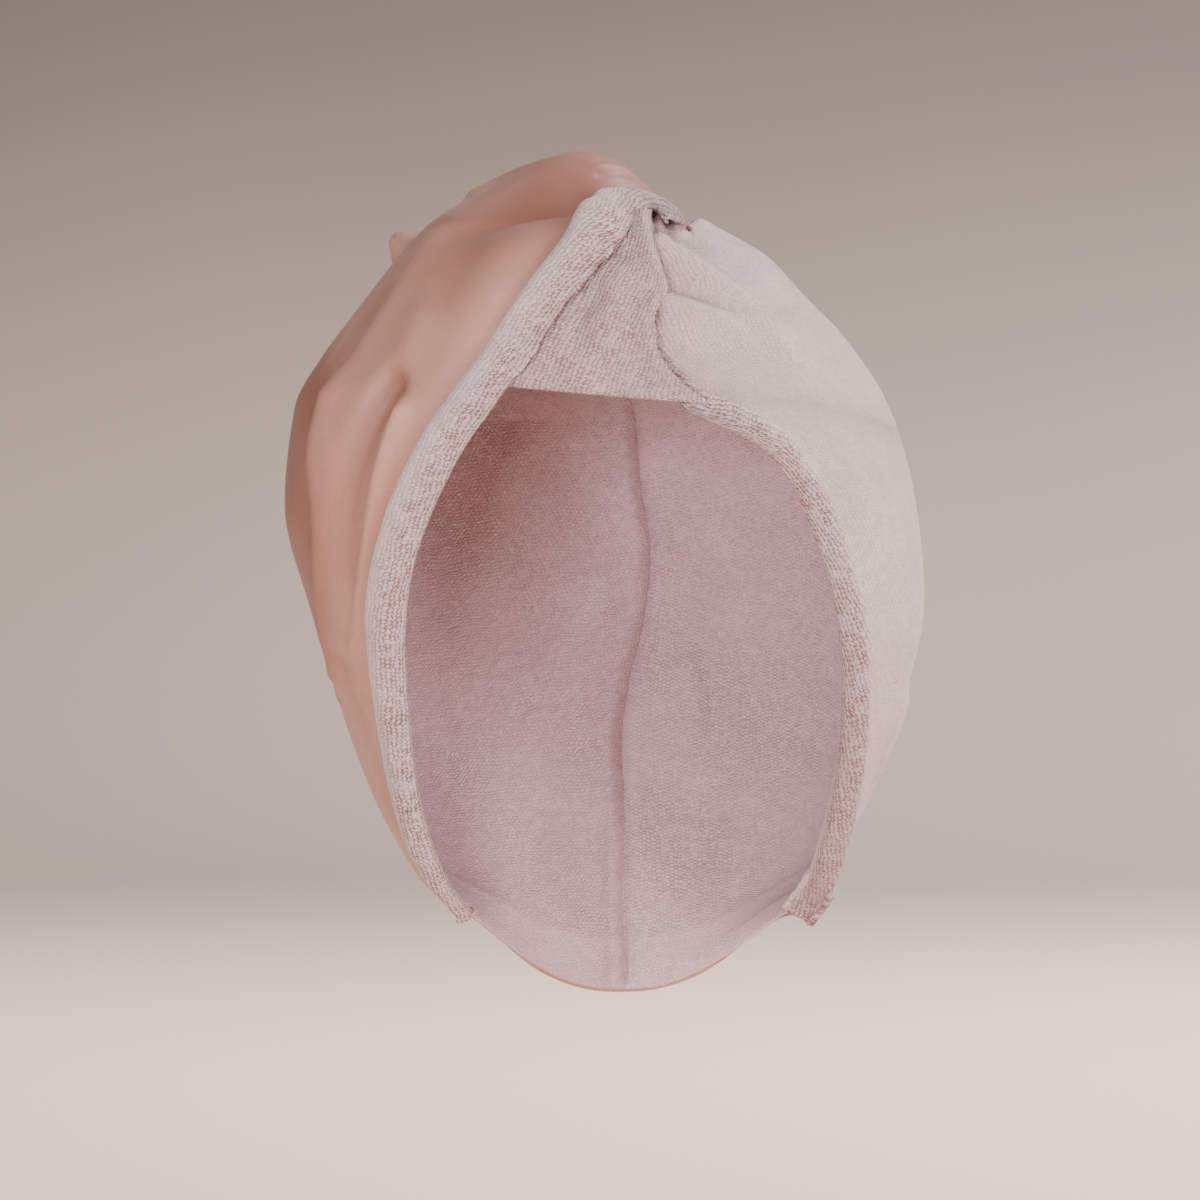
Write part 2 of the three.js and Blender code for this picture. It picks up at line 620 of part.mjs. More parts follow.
function tailStrand(side) {
  const stations = 34;
  const corners = 8;
  const rings = [];
  const top = TAIL_ROUTE[0].height;
  const bottom = TAIL_ROUTE[TAIL_ROUTE.length - 1].height;
  const centreAt = (share) => {
    const height = lerp(top, bottom, share ** 1.2);
    const radius = lerp(TAIL_END_RADIUS, TAIL_RADIUS, routeRadius(height));
    const turn = routeTurn(height) * RADIANS;
    const out = SATIN_OUT + 2 * CLEARANCE + radius * TAIL_FLATNESS + satinFolds(wrapPoint(turn, height));
    return { radius, point: layerPoint(wrapPoint, turn, height, out) };
  };
  for (let i = 0; i <= stations; i += 1) {
    const share = i / stations;
    const { point, radius } = centreAt(share);
    const before = centreAt(Math.max(share - 0.02, 0)).point;
    const after = centreAt(Math.min(share + 0.02, 1)).point;
    const along = after.sub(before).normalize();
    const level = new THREE.Vector3(1, 0, 0).cross(along).normalize();
    const square = along.clone().cross(level).normalize();
    const turn = TAIL_TWISTS * 2 * Math.PI * share + (side > 0 ? 0 : Math.PI);
    const strand = radius / 2 - CLEARANCE / 2;
    const ring = [];
    for (let j = 0; j < corners; j += 1) {
      const angle = (j / corners) * 2 * Math.PI + turn;
      const outward = (Math.cos(turn) * radius) / 2 + Math.cos(angle) * strand;
      const sideways = (Math.sin(turn) * radius) / 2 + Math.sin(angle) * strand;
      const spot = point.clone();
      spot.addScaledVector(level, outward * TAIL_FLATNESS);
      spot.addScaledVector(square, sideways / TAIL_FLATNESS);
      ring.push(spot);
    }
    rings.push(ring);
  }
  return rodThrough(rings);
}

// A turned piece whose axis stands straight out of the back at the button's place.
function standOut(profile, sides) {
  const turn = -Math.PI;
  const geometry = new THREE.LatheGeometry(profile, sides);
  const { out } = frameAt(wrapPoint, turn, BUTTON_HEIGHT);
  const spot = wrapPoint(turn, BUTTON_HEIGHT);
  const turned = new THREE.Quaternion().setFromUnitVectors(new THREE.Vector3(0, 1, 0), out);
  geometry.applyQuaternion(turned);
  geometry.translate(spot.x, spot.y, spot.z);
  return geometry;
}

const BUTTON_SHANK = BUTTON_DIAMETER * 0.15;
const BUTTON_RISE = SATIN_OUT + 2 * LOOP_THICKNESS + CLEARANCE;

function button() {
  const foot = SATIN_OUT + CLEARANCE;
  const half = BUTTON_DIAMETER / 2;
  return standOut([
    new THREE.Vector2(0, foot),
    new THREE.Vector2(BUTTON_SHANK, foot),
    new THREE.Vector2(BUTTON_SHANK, BUTTON_RISE),
    new THREE.Vector2(half * 0.92, BUTTON_RISE),
    new THREE.Vector2(half, BUTTON_RISE + BUTTON_THICKNESS * 0.28),
    new THREE.Vector2(half, BUTTON_RISE + BUTTON_THICKNESS * 0.56),
    new THREE.Vector2(half * 0.85, BUTTON_RISE + BUTTON_THICKNESS * 0.9),
    new THREE.Vector2(0, BUTTON_RISE + BUTTON_THICKNESS),
  ], 24);
}

function tailLoop() {
  const near = BUTTON_SHANK + CLEARANCE;
  const far = BUTTON_DIAMETER * 0.44;
  const foot = SATIN_OUT + 2 * CLEARANCE;
  return standOut([
    new THREE.Vector2(near, foot),
    new THREE.Vector2(far, foot),
    new THREE.Vector2(far * 1.06, foot + LOOP_THICKNESS / 2),
    new THREE.Vector2(far, foot + LOOP_THICKNESS),
    new THREE.Vector2(near, foot + LOOP_THICKNESS),
    new THREE.Vector2(near, foot),
  ], 24);
}

const TERRY = new THREE.MeshStandardMaterial({ color: 0xd8c6c4, roughness: 1 });
const ROSE_TERRY = new THREE.MeshStandardMaterial({ color: 0xc6a5a8, roughness: 1 });
const SATIN = new THREE.MeshStandardMaterial({ color: 0xbe948a, roughness: 0.45 });
const PLAIN = new THREE.MeshStandardMaterial({ color: 0xa87f78, roughness: 0.6 });

const PIECES = [
  { name: "terry_lining_left", geometry: liningHalf(-1), material: ROSE_TERRY },
  { name: "terry_lining_right", geometry: liningHalf(1), material: ROSE_TERRY },
  { name: "satin_left_panel", geometry: satinHalf(-1), material: SATIN },
  { name: "satin_right_panel", geometry: satinHalf(1), material: SATIN },
  { name: "left_turned_edge", geometry: turnedLeftEdge(), material: TERRY },
  { name: "right_turned_panel", geometry: turnedRightPanel(), material: TERRY },
  { name: "forehead_wrap", geometry: foreheadWrap(), material: TERRY },
  { name: "tail_satin_strand", geometry: tailStrand(1), material: SATIN },
  { name: "tail_terry_strand", geometry: tailStrand(-1), material: TERRY },
  { name: "tail_loop", geometry: tailLoop(), material: PLAIN },
  { name: "nape_button", geometry: button(), material: PLAIN },
];

const wrap = new THREE.Group();
wrap.name = "hair_turban_towel";
for (const { name, geometry, material } of PIECES) {
  const piece = new THREE.Mesh(geometry, material);
  piece.name = name;
  wrap.add(piece);
}

export default wrap;
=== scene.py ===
"""A hair turban towel in its worn form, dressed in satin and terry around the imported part."""
import math
from collections import namedtuple

import bmesh
import bpy
import numpy as np
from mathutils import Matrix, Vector


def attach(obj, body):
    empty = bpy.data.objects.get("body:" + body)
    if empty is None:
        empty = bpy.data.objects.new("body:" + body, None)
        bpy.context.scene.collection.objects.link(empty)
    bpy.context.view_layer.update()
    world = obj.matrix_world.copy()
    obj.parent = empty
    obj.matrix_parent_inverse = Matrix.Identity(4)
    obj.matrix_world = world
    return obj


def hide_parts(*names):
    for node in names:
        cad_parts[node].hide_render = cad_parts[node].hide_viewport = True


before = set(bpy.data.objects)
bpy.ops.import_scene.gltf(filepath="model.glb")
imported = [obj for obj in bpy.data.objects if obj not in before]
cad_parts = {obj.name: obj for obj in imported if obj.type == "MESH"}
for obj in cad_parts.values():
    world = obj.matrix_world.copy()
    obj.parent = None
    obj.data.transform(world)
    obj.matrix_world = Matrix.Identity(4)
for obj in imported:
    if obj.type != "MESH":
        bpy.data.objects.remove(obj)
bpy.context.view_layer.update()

bl_info = {
    "name": "Hair turban towel",
    "version": (1, 0, 0),
    "blender": (4, 5, 0),
    "location": "View3D > Sidebar > Towel",
    "description": "Models a worn hair turban towel of satin and terry",
    "category": "Add Mesh",
}

MM = 0.001
ROOT = "root"

# Level sections of the satin's inner face, from the ridge of the twist down to the nape. Height is a share
# of the wrap's height; left, right and lean are shares of its width; front, back and middle are shares of
# its depth.
Section = namedtuple("Section", "height left right front back middle lean")
SECTIONS = [
    Section(1.0, -0.035, -0.026, -0.2, -0.18, -0.19, -0.03),
    Section(0.992, -0.066, -0.005, -0.25, -0.12, -0.19, -0.03),
    Section(0.975, -0.112, 0.03, -0.29, -0.07, -0.185, -0.035),
    Section(0.942, -0.195, 0.076, -0.335, -0.01, -0.175, -0.043),
    Section(0.91, -0.266, 0.125, -0.375, 0.1, -0.14, -0.043),
    Section(0.871, -0.318, 0.238, -0.41, 0.28, -0.06, -0.026),
    Section(0.818, -0.378, 0.312, -0.43, 0.4, 0.0, -0.013),
    Section(0.759, -0.44, 0.386, -0.44, 0.47, 0.025, 0.0),
    Section(0.704, -0.482, 0.434, -0.44, 0.5, 0.04, 0.0),
    Section(0.59, -0.498, 0.476, -0.415, 0.52, 0.045, 0.0),
    Section(0.475, -0.46, 0.49, -0.375, 0.51, 0.05, 0.009),
    Section(0.361, -0.414, 0.458, -0.32, 0.485, 0.065, 0.017),
    Section(0.246, -0.362, 0.398, -0.23, 0.45, 0.11, 0.022),
    Section(0.148, -0.292, 0.348, -0.1, 0.42, 0.18, 0.026),
    Section(0.096, -0.228, 0.3, 0.0, 0.405, 0.22, 0.026),
    Section(0.0, -0.183, 0.245, 0.1, 0.38, 0.25, 0.026),
]
CROWN = 0.884  # heights as shares: the top of the head, the brow, the face opening's corners and the button
BROW = 0.704
CORNER = 0.096
BUTTON = 0.12
SQUARENESS = 2.3  # exponent of the sections' rounded shape; 2 is an ellipse

# The front edges as seen from the front: across is a share of the width, from the middle.
Edge = namedtuple("Edge", "height across width", defaults=(1.0,))
LEFT_EDGE = [
    Edge(0.096, -0.216, 0.2),
    Edge(0.135, -0.245, 0.46),
    Edge(0.181, -0.271, 0.68),
    Edge(0.269, -0.297, 0.8),
    Edge(0.361, -0.306, 0.95),
    Edge(0.433, -0.309),
    Edge(0.488, -0.302),
    Edge(0.544, -0.283),
    Edge(0.599, -0.25),
    Edge(0.655, -0.207),
    Edge(0.697, -0.165),
    Edge(0.737, -0.126),
    Edge(0.792, -0.076),
    Edge(0.841, -0.022, 1.08),
    Edge(0.877, 0.019, 1.24),
    Edge(0.901, 0.039, 1.36),
    Edge(0.9135, 0.055, 1.36),
    Edge(0.917, 0.068, 1.26),
    Edge(0.908, 0.08, 1.12),
    Edge(0.892, 0.085, 1.0),
]
RISING_ROWS = 16  # the layers under the left edge follow only these first rows of it
RIGHT_EDGE = [
    Edge(0.096, 0.31),
    Edge(0.148, 0.335),
    Edge(0.21, 0.353),
    Edge(0.269, 0.365),
    Edge(0.341, 0.371),
    Edge(0.41, 0.368),
    Edge(0.456, 0.359),
    Edge(0.511, 0.341),
    Edge(0.567, 0.315),
    Edge(0.612, 0.285),
    Edge(0.648, 0.248),
    Edge(0.675, 0.207),
    Edge(0.694, 0.157),
    Edge(0.73, 0.104),
    Edge(0.759, 0.08),
    Edge(0.786, 0.074),
    Edge(0.818, 0.093),
    Edge(0.851, 0.078),
    Edge(0.884, 0.065),
    Edge(0.925, 0.056),
]

# How high the wide panel reaches round the knot, by degrees of turn from the front.
Crest = namedtuple("Crest", "turn height")
PANEL_CREST = [
    Crest(0, 0.922),
    Crest(29, 0.918),
    Crest(35, 0.893),
    Crest(41, 0.891),
    Crest(50, 0.9),
    Crest(66, 0.902),
    Crest(90, 0.896),
    Crest(120, 0.892),
    Crest(160, 0.892),
]

# The middle line of a turned edge's wall, from under the cloth round its edge to over it. along is a share
# of the roll's width from the edge, nose a share of the wall, side tells under from over, and puff is a share
# of its fullness.
Roll = namedtuple("Roll", "along nose side puff")
TURNED_ROLL = [
    Roll(0.53, 0.0, -1.0, 0.0),
    Roll(0.28, 0.0, -1.04, 0.0),
    Roll(0.02, -0.1, -0.95, 0.0),
    Roll(-0.06, -0.8, 0.0, 0.0),
    Roll(-0.02, -0.4, 1.0, 0.35),
    Roll(0.2, 0.0, 1.0, 1.0),
    Roll(0.48, 0.0, 1.0, 0.9),
    Roll(0.66, 0.0, 1.0, 0.45),
    Roll(0.74, 0.0, 1.0, -0.25),
]

# Folds seen from the front: each runs through places (across, level) in millimetres, and its width and rise
# go from the first value to the second along it. A sharp one has a narrow crest.
Fold = namedtuple("Fold", "places width rise sharp", defaults=(False,))
SATIN_FOLDS = [
    Fold([(-84, -78), (-90, -110), (-92, -145)], (24, 15), (2.8, 2.2)),
    Fold([(-94, -54), (-96.5, -72), (-97, -99), (-97.6, -126), (-94, -150)], (7, 6), (4.8, 3.4), True),
    Fold([(-66.4, -58), (-74, -80), (-79, -98), (-82.5, -116), (-85, -140)], (3.6, 4.4), (5.2, 1.8), True),
    Fold([(-69.5, -50), (-76.5, -63), (-83, -77), (-87, -91), (-89, -112)], (5.4, 6.5), (-6.4, -2.2)),
    Fold([(-68.5, -51), (-71, -56)], (3.2, 3.4), (-2.6, -1.8)),
    Fold([(-78, -20), (-88, -36), (-99, -52)], (8, 9), (-3.6, -3.0)),
    Fold([(-58, 2), (-76, -24), (-90, -46)], (9, 8), (2.2, 2.4)),
    Fold([(-62, -30), (-68, -48)], (8, 6), (1.6, 2.4)),
    Fold([(-96, -150), (-94.5, -159)], (4.5, 4.5), (1.6, 1.3)),
    Fold([(-92, -146), (-84, -172), (-74, -200)], (5, 6), (-2.0, -1.2)),
    Fold([(-86, -140), (-80, -170), (-70, -205)], (5, 5), (1.2, 0.8)),
    Fold([(-45.5, 15.4), (-35, 20.4), (-22, 25.9), (-8, 28.4)], (1.5, 1.2), (-2.2, -0.6), True),
    Fold([(-48, 17), (-37, 22.4), (-23, 28), (-9, 30.4)], (2.4, 2.0), (2.2, 0.5)),
    Fold([(-1.5, 23.2), (8.5, 23.4)], (1.2, 1.2), (-2.0, -1.4), True),
    Fold([(-2.5, 25.4), (7, 25.4)], (1.8, 1.6), (0.6, 0.6)),
    Fold([(-22, 14), (-40, 0), (-52, -20)], (9, 10), (-2.4, -1.4)),
    Fold([(-100, -92), (-96, -150), (-80, -200)], (12, 12), (-1.4, -0.8)),
    Fold([(-30, -10), (-52, -46), (-66, -92)], (10, 9), (1.2, 1.0)),
]
HUMP_START = 24  # the ridge's top is rounded off from this level up, in millimetres
HUMP_HEIGHT = 14.5
KNOT_BEHIND = (6.0, -80.0, 8.0)  # the middle of the shadow that the knot throws on the satin
KNOT_BESIDE = (16.0, -78.0, 0.0)  # and of the one on the wide panel
CUFF_FOLDS = 8  # the first folds also lift the narrow edge that lies over them
HOOK_TILT = 72  # degrees that the narrow edge's end turns away from the front
HOOK_FACING = (0.1, -0.85, 0.5)  # where the end's shown face looks before that turn
HOOK_RISE = 3.5
EDGE_STATIONS = 300
PANEL_STATIONS = 210
PANEL_REACH = 150  # columns of the wide panel past its roll
PANEL_END = 158  # degrees from the front where the wide panel is sewn in
LINING_DOME = 0.78  # share of the lining's rows that lie under the brow
TERRY_FOLDS = [
    Fold([(16, -12), (40, -27)], (15, 18), (3.0, 1.4)),
    Fold([(17, -5), (24, -8), (31, -12.3), (43.5, -21), (56, -32), (66, -45)], (3.3, 7), (6.0, 1.8)),
    Fold([(16, -22.5), (26, -25.4), (39, -29), (52, -35)], (3.0, 6.5), (5.4, 1.6)),
    Fold([(18, -14), (29, -18.5), (41, -26), (50, -33)], (3.2, 4.6), (-4.6, -1.6)),
    Fold([(21, -34), (31, -52), (42, -66)], (5, 6), (-2.0, -0.8)),
    Fold([(24, -1), (36, -4), (52, -14)], (4.5, 8), (-2.0, -0.8)),
    Fold([(30, 6), (42, 4), (56, -5)], (6, 8), (2.0, 1.0)),
    Fold([(103, -160), (101.5, -176), (97, -196)], (6, 6), (2.6, 1.4)),
    Fold([(95, -150), (94, -180), (88, -214)], (8, 8), (-2.0, -1.2)),
    Fold([(70, -60), (86, -96), (92, -140)], (16, 18), (1.5, 1.0)),
    Fold([(58, -44), (74, -76), (84, -110)], (9, 10), (-1.2, -0.8)),
]
# The gathers of the wide panel where it goes into the knot.
PLEATS = [
    Fold([(14.2, 13), (13.8, 4), (15.5, -4)], (1.6, 1.9), (2.6, 1.8)),
    Fold([(18.0, 12), (17.2, 3), (18.5, -5)], (1.4, 1.8), (2.6, 1.6)),
    Fold([(16.1, 12), (15.5, -2)], (0.9, 0.9), (-2.2, -1.6)),
    Fold([(19.8, 8), (19.6, -2)], (0.9, 1.2), (-2.2, -1.4)),
]
FOREHEAD_FOLDS = [
    Fold([(11, 2), (12, -4), (15, -11), (13, -19), (15, -32)], (3.4, 4), (2.6, 1.8)),
    Fold([(-1, -6), (3, -6.5), (8, -8)], (3.0, 3.0), (-3.0, -2.2)),
    Fold([(9, -10), (4, -28), (-8, -46)], (6, 8), (2.0, 1.0)),
    Fold([(-4, -14), (-12, -30), (-22, -44)], (5, 6), (-1.4, -1.0)),
    Fold([(16, -27), (23, -40), (32, -52)], (4, 4), (2.2, 1.8)),
]
LINING_FOLDS_LEFT = [
    Fold([(1.5, -118), (-2, -145), (-4, -170), (-1, -200)], (7, 9), (4.2, 2.8)),
    Fold([(7, -66), (7, -92)], (7, 7), (2.4, 2.2)),
    Fold([(-36, -72), (-44, -110), (-50, -150)], (14, 16), (3.8, 2.6)),
    Fold([(-44, -196), (-30, -232), (-10, -252)], (14, 10), (3.2, 2.2)),
    Fold([(-20, -214), (-12, -238)], (8, 8), (-1.8, -1.8)),
    Fold([(-22, -74), (-6, -102), (5, -124)], (8, 7), (-3.0, -2.4)),
]
LINING_FOLDS_RIGHT = [
    Fold([(14, -120), (11, -160), (12, -220)], (7, 7), (1.8, 1.4)),
    Fold([(32, -150), (36, -184), (32, -208)], (5, 6), (2.6, 2.0)),
    Fold([(60, -84), (66, -130), (58, -190)], (16, 16), (2.6, 2.0)),
    Fold([(22, -70), (26, -100)], (10, 10), (1.6, 1.6)),
    Fold([(42, -140), (46, -185), (40, -214)], (5, 5), (-1.2, -1.0)),
]

# The lining's seam at the back, as seen from the front: how far it wanders to the right of the axis.
SeamPlace = namedtuple("SeamPlace", "height offset")
LINING_SEAM = [
    SeamPlace(0.0, -0.5),
    SeamPlace(0.12, 2.4),
    SeamPlace(0.2, 1.6),
    SeamPlace(0.29, 2.8),
    SeamPlace(0.35, 2.4),
    SeamPlace(0.42, 6.2),
    SeamPlace(0.49, 13.2),
    SeamPlace(0.57, 17.5),
    SeamPlace(0.64, 14.0),
    SeamPlace(0.72, 11.6),
    SeamPlace(0.884, 6.0),
]

# Where the twisted tail lies on the back of the wrap; turn is in degrees from the front.
TailPlace = namedtuple("TailPlace", "turn height radius")
TAIL_ROUTE = [
    TailPlace(-176, 0.94, -1.2),
    TailPlace(-184, 0.908, 0.2),
    TailPlace(-192, 0.87, 0.85),
    TailPlace(-194, 0.8, 0.94),
    TailPlace(-193, 0.7, 0.86),
    TailPlace(-189, 0.55, 0.68),
    TailPlace(-184, 0.36, 0.38),
    TailPlace(-180, 0.17, 0.0),
]
TAIL_TWISTS = 3
TAIL_FLATNESS = 0.78
STRAND_STATIONS = 300
STRAND_CORNERS = 48
LOOP_THICKNESS = 3.2  # of the elastic, in millimetres
BUTTON_THICKNESS = 3.6

# Folds of the satin from the twist down the back: places are (turn in degrees, height).
BackFold = namedtuple("BackFold", "places rise width")
BACK_FOLDS = [
    BackFold([(-150, 0.9), (-142, 0.74), (-140, 0.6)], 4.0, 12.0),
    BackFold([(-166, 0.62), (-160, 0.45), (-158, 0.28)], 2.2, 9.0),
    BackFold([(162, 0.62), (160, 0.45), (164, 0.28)], 2.2, 9.0),
    BackFold([(-128, 0.8), (-118, 0.62), (-114, 0.44)], 2.4, 10.0),
    BackFold([(140, 0.6), (136, 0.4), (140, 0.22)], 2.0, 10.0),
]
# The bulge where the tail starts to twist, seen over the left shoulder of the wrap.
NUB_PLACES = [(-100, 0.884), (-112, 0.872), (-126, 0.856)]

# The flat sizes of the cloth pieces in metres, width and length, measured along their own rows.
FLAT = {
    "lining": (0.200, 0.300),
    "satin_left": (0.245, 0.300),
    "satin_right": (0.210, 0.300),
    "edge": (0.030, 0.340),
    "panel": (0.235, 0.240),
    "forehead": (0.052, 0.052),
    "strand": (0.030, 0.250),
}
ALL_RIMS = ("bottom", "top", "start", "end")

# Pitches in metres, depths of the grooves between rows and columns, the fuzz and the bump in metres.
Weave = namedtuple("Weave", "row_pitch column_pitch row_groove column_groove fuzz depth")
PALE_WEAVE = Weave(0.00165, 0.0018, 0.54, 0.56, 0.85, 0.001)
ROSE_WEAVE = Weave(0.0014, 0.0016, 0.66, 0.26, 0.5, 0.0009)
TERRY_SHADED = (0.78, 0.68, 0.71)  # shares of red, green and blue that the cloth keeps where shade is painted on it
SATIN_SLOW = (0.93, 0.86, 0.86)
# shares that the satin keeps where shade is painted on it
SATIN_SHADED = (0.56, 0.42, 0.4)

# The stage, in metres: a floor that bends up into a backdrop, the lamps and the camera.
FLOOR_LEVEL = -0.42
SWEEP_START = -4.0
SWEEP_END = 8.0
SWEEP_HALF_WIDTH = 9.0
BEND_START = 3.6
BEND_RADIUS = 1.6
Lamp = namedtuple("Lamp", "name spot target size power")
LAMPS = [
    Lamp("key", (1.45, -1.6, 0.1), (0.0, 0.0, -0.11), 0.8, 31.0),
    Lamp("fill", (-1.6, -1.3, -0.1), (0.0, 0.0, -0.11), 1.6, 3.0),
    Lamp("top", (0.3, 0.3, 1.5), (0.0, 0.0, -0.11), 1.0, 2.0),
    Lamp("front", (-0.55, -2.3, -0.12), (0.0, 0.0, -0.13), 0.7, 45.0),
    Lamp("backdrop", (2.0, 1.0, 2.2), (0.9, 4.2, -0.3), 2.6, 330.0),
]
SKY_COLOUR = (1.0, 0.985, 0.97, 1.0)
SKY_STRENGTH = 0.27
CAMERA_PLACE = (-0.00144, -1.8, -0.1242)
CAMERA_LENS = 150.0  # millimetres, on a 36 mm sensor

# A Mix node has several sockets of one name, so its colour sockets are told by their places.
MIX_FACTOR = 0
MIX_FIRST = 6
MIX_SECOND = 7
MIX_RESULT = 2


class TowelSizes(bpy.types.PropertyGroup):
    """Sizes of the towel as worn."""

    wrap_width: bpy.props.FloatProperty(
        name="Width", description="Widest place, side to side", default=0.230, unit="LENGTH"
    )
    wrap_height: bpy.props.FloatProperty(
        name="Height", description="Nape edge to the ridge of the twist", default=0.306, unit="LENGTH"
    )
    wrap_depth: bpy.props.FloatProperty(
        name="Depth", description="Brow to the back of the head", default=0.200, unit="LENGTH"
    )
    terry_wall: bpy.props.FloatProperty(
        name="Terry thickness", description="Thickness of the looped cotton", default=0.0026, unit="LENGTH"
    )
    satin_wall: bpy.props.FloatProperty(
        name="Satin thickness", description="Thickness of the smooth cloth", default=0.0010, unit="LENGTH"
    )
    layer_gap: bpy.props.FloatProperty(
        name="Layer gap", description="Air between one layer and the next", default=0.0004, unit="LENGTH"
    )
    turned_edge: bpy.props.FloatProperty(
        name="Turned edge", description="Width of the narrow turned edge", default=0.0178, unit="LENGTH"
    )
    panel_roll: bpy.props.FloatProperty(
        name="Panel roll",
        description="Width of the roll where the wide panel turns",
        default=0.013,
        unit="LENGTH",
    )
    tail_radius: bpy.props.FloatProperty(
        name="Tail radius",
        description="The twisted tail where it leaves the ridge",
        default=0.017,
        unit="LENGTH",
    )
    tail_end: bpy.props.FloatProperty(
        name="Tail end", description="The twisted tail's radius at the nape", default=0.009, unit="LENGTH"
    )
    button: bpy.props.FloatProperty(
        name="Button", description="Diameter of the button", default=0.022, unit="LENGTH"
    )


class TowelColours(bpy.types.PropertyGroup):
    """Colours of the towel and its stage."""

    satin: bpy.props.FloatVectorProperty(
        name="Satin", description="Smooth outer cloth", subtype="COLOR", size=3, default=(0.485, 0.248, 0.194)
    )
    pale_pile: bpy.props.FloatVectorProperty(
        name="Pale pile",
        description="Loops of the turned terry",
        subtype="COLOR",
        size=3,
        default=(0.725, 0.56, 0.553),
    )
    # the cloth between the loops, painted dark for the shade in the pits
    pale_ground: bpy.props.FloatVectorProperty(
        name="Pale ground",
        description="Cloth between the loops",
        subtype="COLOR",
        size=3,
        default=(0.27, 0.11, 0.11),
    )
    rose_pile: bpy.props.FloatVectorProperty(
        name="Rose pile",
        description="Loops of the lining",
        subtype="COLOR",
        size=3,
        default=(0.67, 0.455, 0.48),
    )
    # the cloth between the lining's loops, painted dark for the shade in the pits
    rose_ground: bpy.props.FloatVectorProperty(
        name="Rose ground",
        description="Between the lining's loops",
        subtype="COLOR",
        size=3,
        default=(0.30, 0.16, 0.175),
    )
    trim: bpy.props.FloatVectorProperty(
        name="Trim",
        description="Elastic loop and button",
        subtype="COLOR",
        size=3,
        default=(0.40, 0.23, 0.20),
    )
    floor: bpy.props.FloatVectorProperty(
        name="Floor", description="Pale floor", subtype="COLOR", size=3, default=(0.99, 0.745, 0.585)
    )
    horizon: bpy.props.FloatVectorProperty(
        name="Horizon",
        description="Backdrop just over the floor",
        subtype="COLOR",
        size=3,
        default=(0.52, 0.405, 0.34),
    )
    backdrop: bpy.props.FloatVectorProperty(
        name="Backdrop", description="Upper backdrop", subtype="COLOR", size=3, default=(0.15, 0.117, 0.105)
    )


def ease(low, high, value):
    """A share that rises smoothly from 0 at low to 1 at high."""
    share = np.clip((value - low) / (high - low), 0.0, 1.0)
    return share * share * (3.0 - 2.0 * share)


def between(first, second, share):
    """The value a share of the way from the first to the second."""
    return first + (second - first) * share


def curve_through(rows, key, value):
    """A smooth curve through one column of a table, without overshoot between its rows."""
    pairs = sorted((getattr(row, key), getattr(row, value)) for row in rows)
    places = np.array([pair[0] for pair in pairs])
    values = np.array([pair[1] for pair in pairs])
    slopes = np.diff(values) / np.diff(places)
    bends = np.concatenate(([slopes[0]], np.zeros(len(slopes) - 1), [slopes[-1]]))
    for i in range(1, len(slopes)):
        product = slopes[i - 1] * slopes[i]
        if product > 0:
            bends[i] = 2.0 * product / (slopes[i - 1] + slopes[i])

    def curve(at):
        place = np.clip(at, places[0], places[-1])
        i = np.clip(np.searchsorted(places, place, side="right") - 1, 0, len(places) - 2)
        span = places[i + 1] - places[i]
        part = (place - places[i]) / span
        rest = 1 - part
        rise = (1 + 2 * part) * rest**2 * values[i] + part * part * (3 - 2 * part) * values[i + 1]
        return rise + span * (part * rest**2 * bends[i] - part * part * rest * bends[i + 1])

    return curve


def unit(vectors):
    """Vectors of length one."""
    return vectors / np.maximum(np.linalg.norm(vectors, axis=-1, keepdims=True), 1e-12)


def along_polyline(points, line):
    """For each point, its distance to a polyline and how far along the polyline the nearest place is."""
    steps = np.linalg.norm(np.diff(line, axis=0), axis=1)
    starts = np.concatenate(([0.0], np.cumsum(steps)))
    best = np.full(points.shape[:-1], np.inf)
    share = np.zeros(points.shape[:-1])
    for i, step in enumerate(steps):
        way = (line[i + 1] - line[i]) / step
        ahead = np.clip((points - line[i]) @ way, 0.0, step)
        gap = np.linalg.norm(points - line[i] - ahead[..., None] * way, axis=-1)
        nearer = gap < best
        best = np.where(nearer, gap, best)
        share = np.where(nearer, (starts[i] + ahead) / starts[-1], share)
    return best, share


def smooth_path(knots, fineness):
    """A smooth path through knots: each stretch bends towards its neighbours."""
    knots = np.asarray(knots, dtype=float)
    ends = np.vstack([2 * knots[0] - knots[1], knots, 2 * knots[-1] - knots[-2]])
    pieces = []
    for i in range(1, len(ends) - 2):
        part = np.linspace(0.0, 1.0, fineness, endpoint=False)[:, None]
        before, start, stop, after = ends[i - 1 : i + 3]
        pieces.append(
            start
            + 0.5 * part * (stop - before)
            + part * part * (before - 2.5 * start + 2 * stop - 0.5 * after)
            + 0.5 * part**3 * (3 * start - 3 * stop + after - before)
        )
    return np.vstack([*pieces, knots[-1:]])


def relaxed(grid, passes, weight=0.5):
    """A grid of points with its inner points drawn towards the mean of their neighbours."""
    grid = grid.copy()
    for _ in range(passes):
        mean = (grid[:-2, 1:-1] + grid[2:, 1:-1] + grid[1:-1, :-2] + grid[1:-1, 2:]) / 4
        grid[1:-1, 1:-1] += weight * (mean - grid[1:-1, 1:-1])
    return grid


def spaced(length, step, wall):
    """Shares from 0 to 1 along a length: even steps, with closer rows within a wall's width of each end."""
    lead = wall * np.array([0.0, 0.08, 0.25, 0.55])
    inner = np.linspace(wall, length - wall, max(int(length / step), 4))
    return np.concatenate([lead, inner, length - lead[::-1]]) / length


def waves(points, size, seed):
    """Slow unevenness of hand-laid cloth, from -1 to 1, over distances of about size."""
    rng = np.random.default_rng(seed)
    total = np.zeros(points.shape[:-1])
    for _ in range(7):
        way = unit(rng.normal(size=3))
        phase = rng.uniform(0, 2 * math.pi)
        total += np.sin((points @ way) * (2 * math.pi / size) * rng.uniform(0.7, 1.5) + phase)
    return total / 7


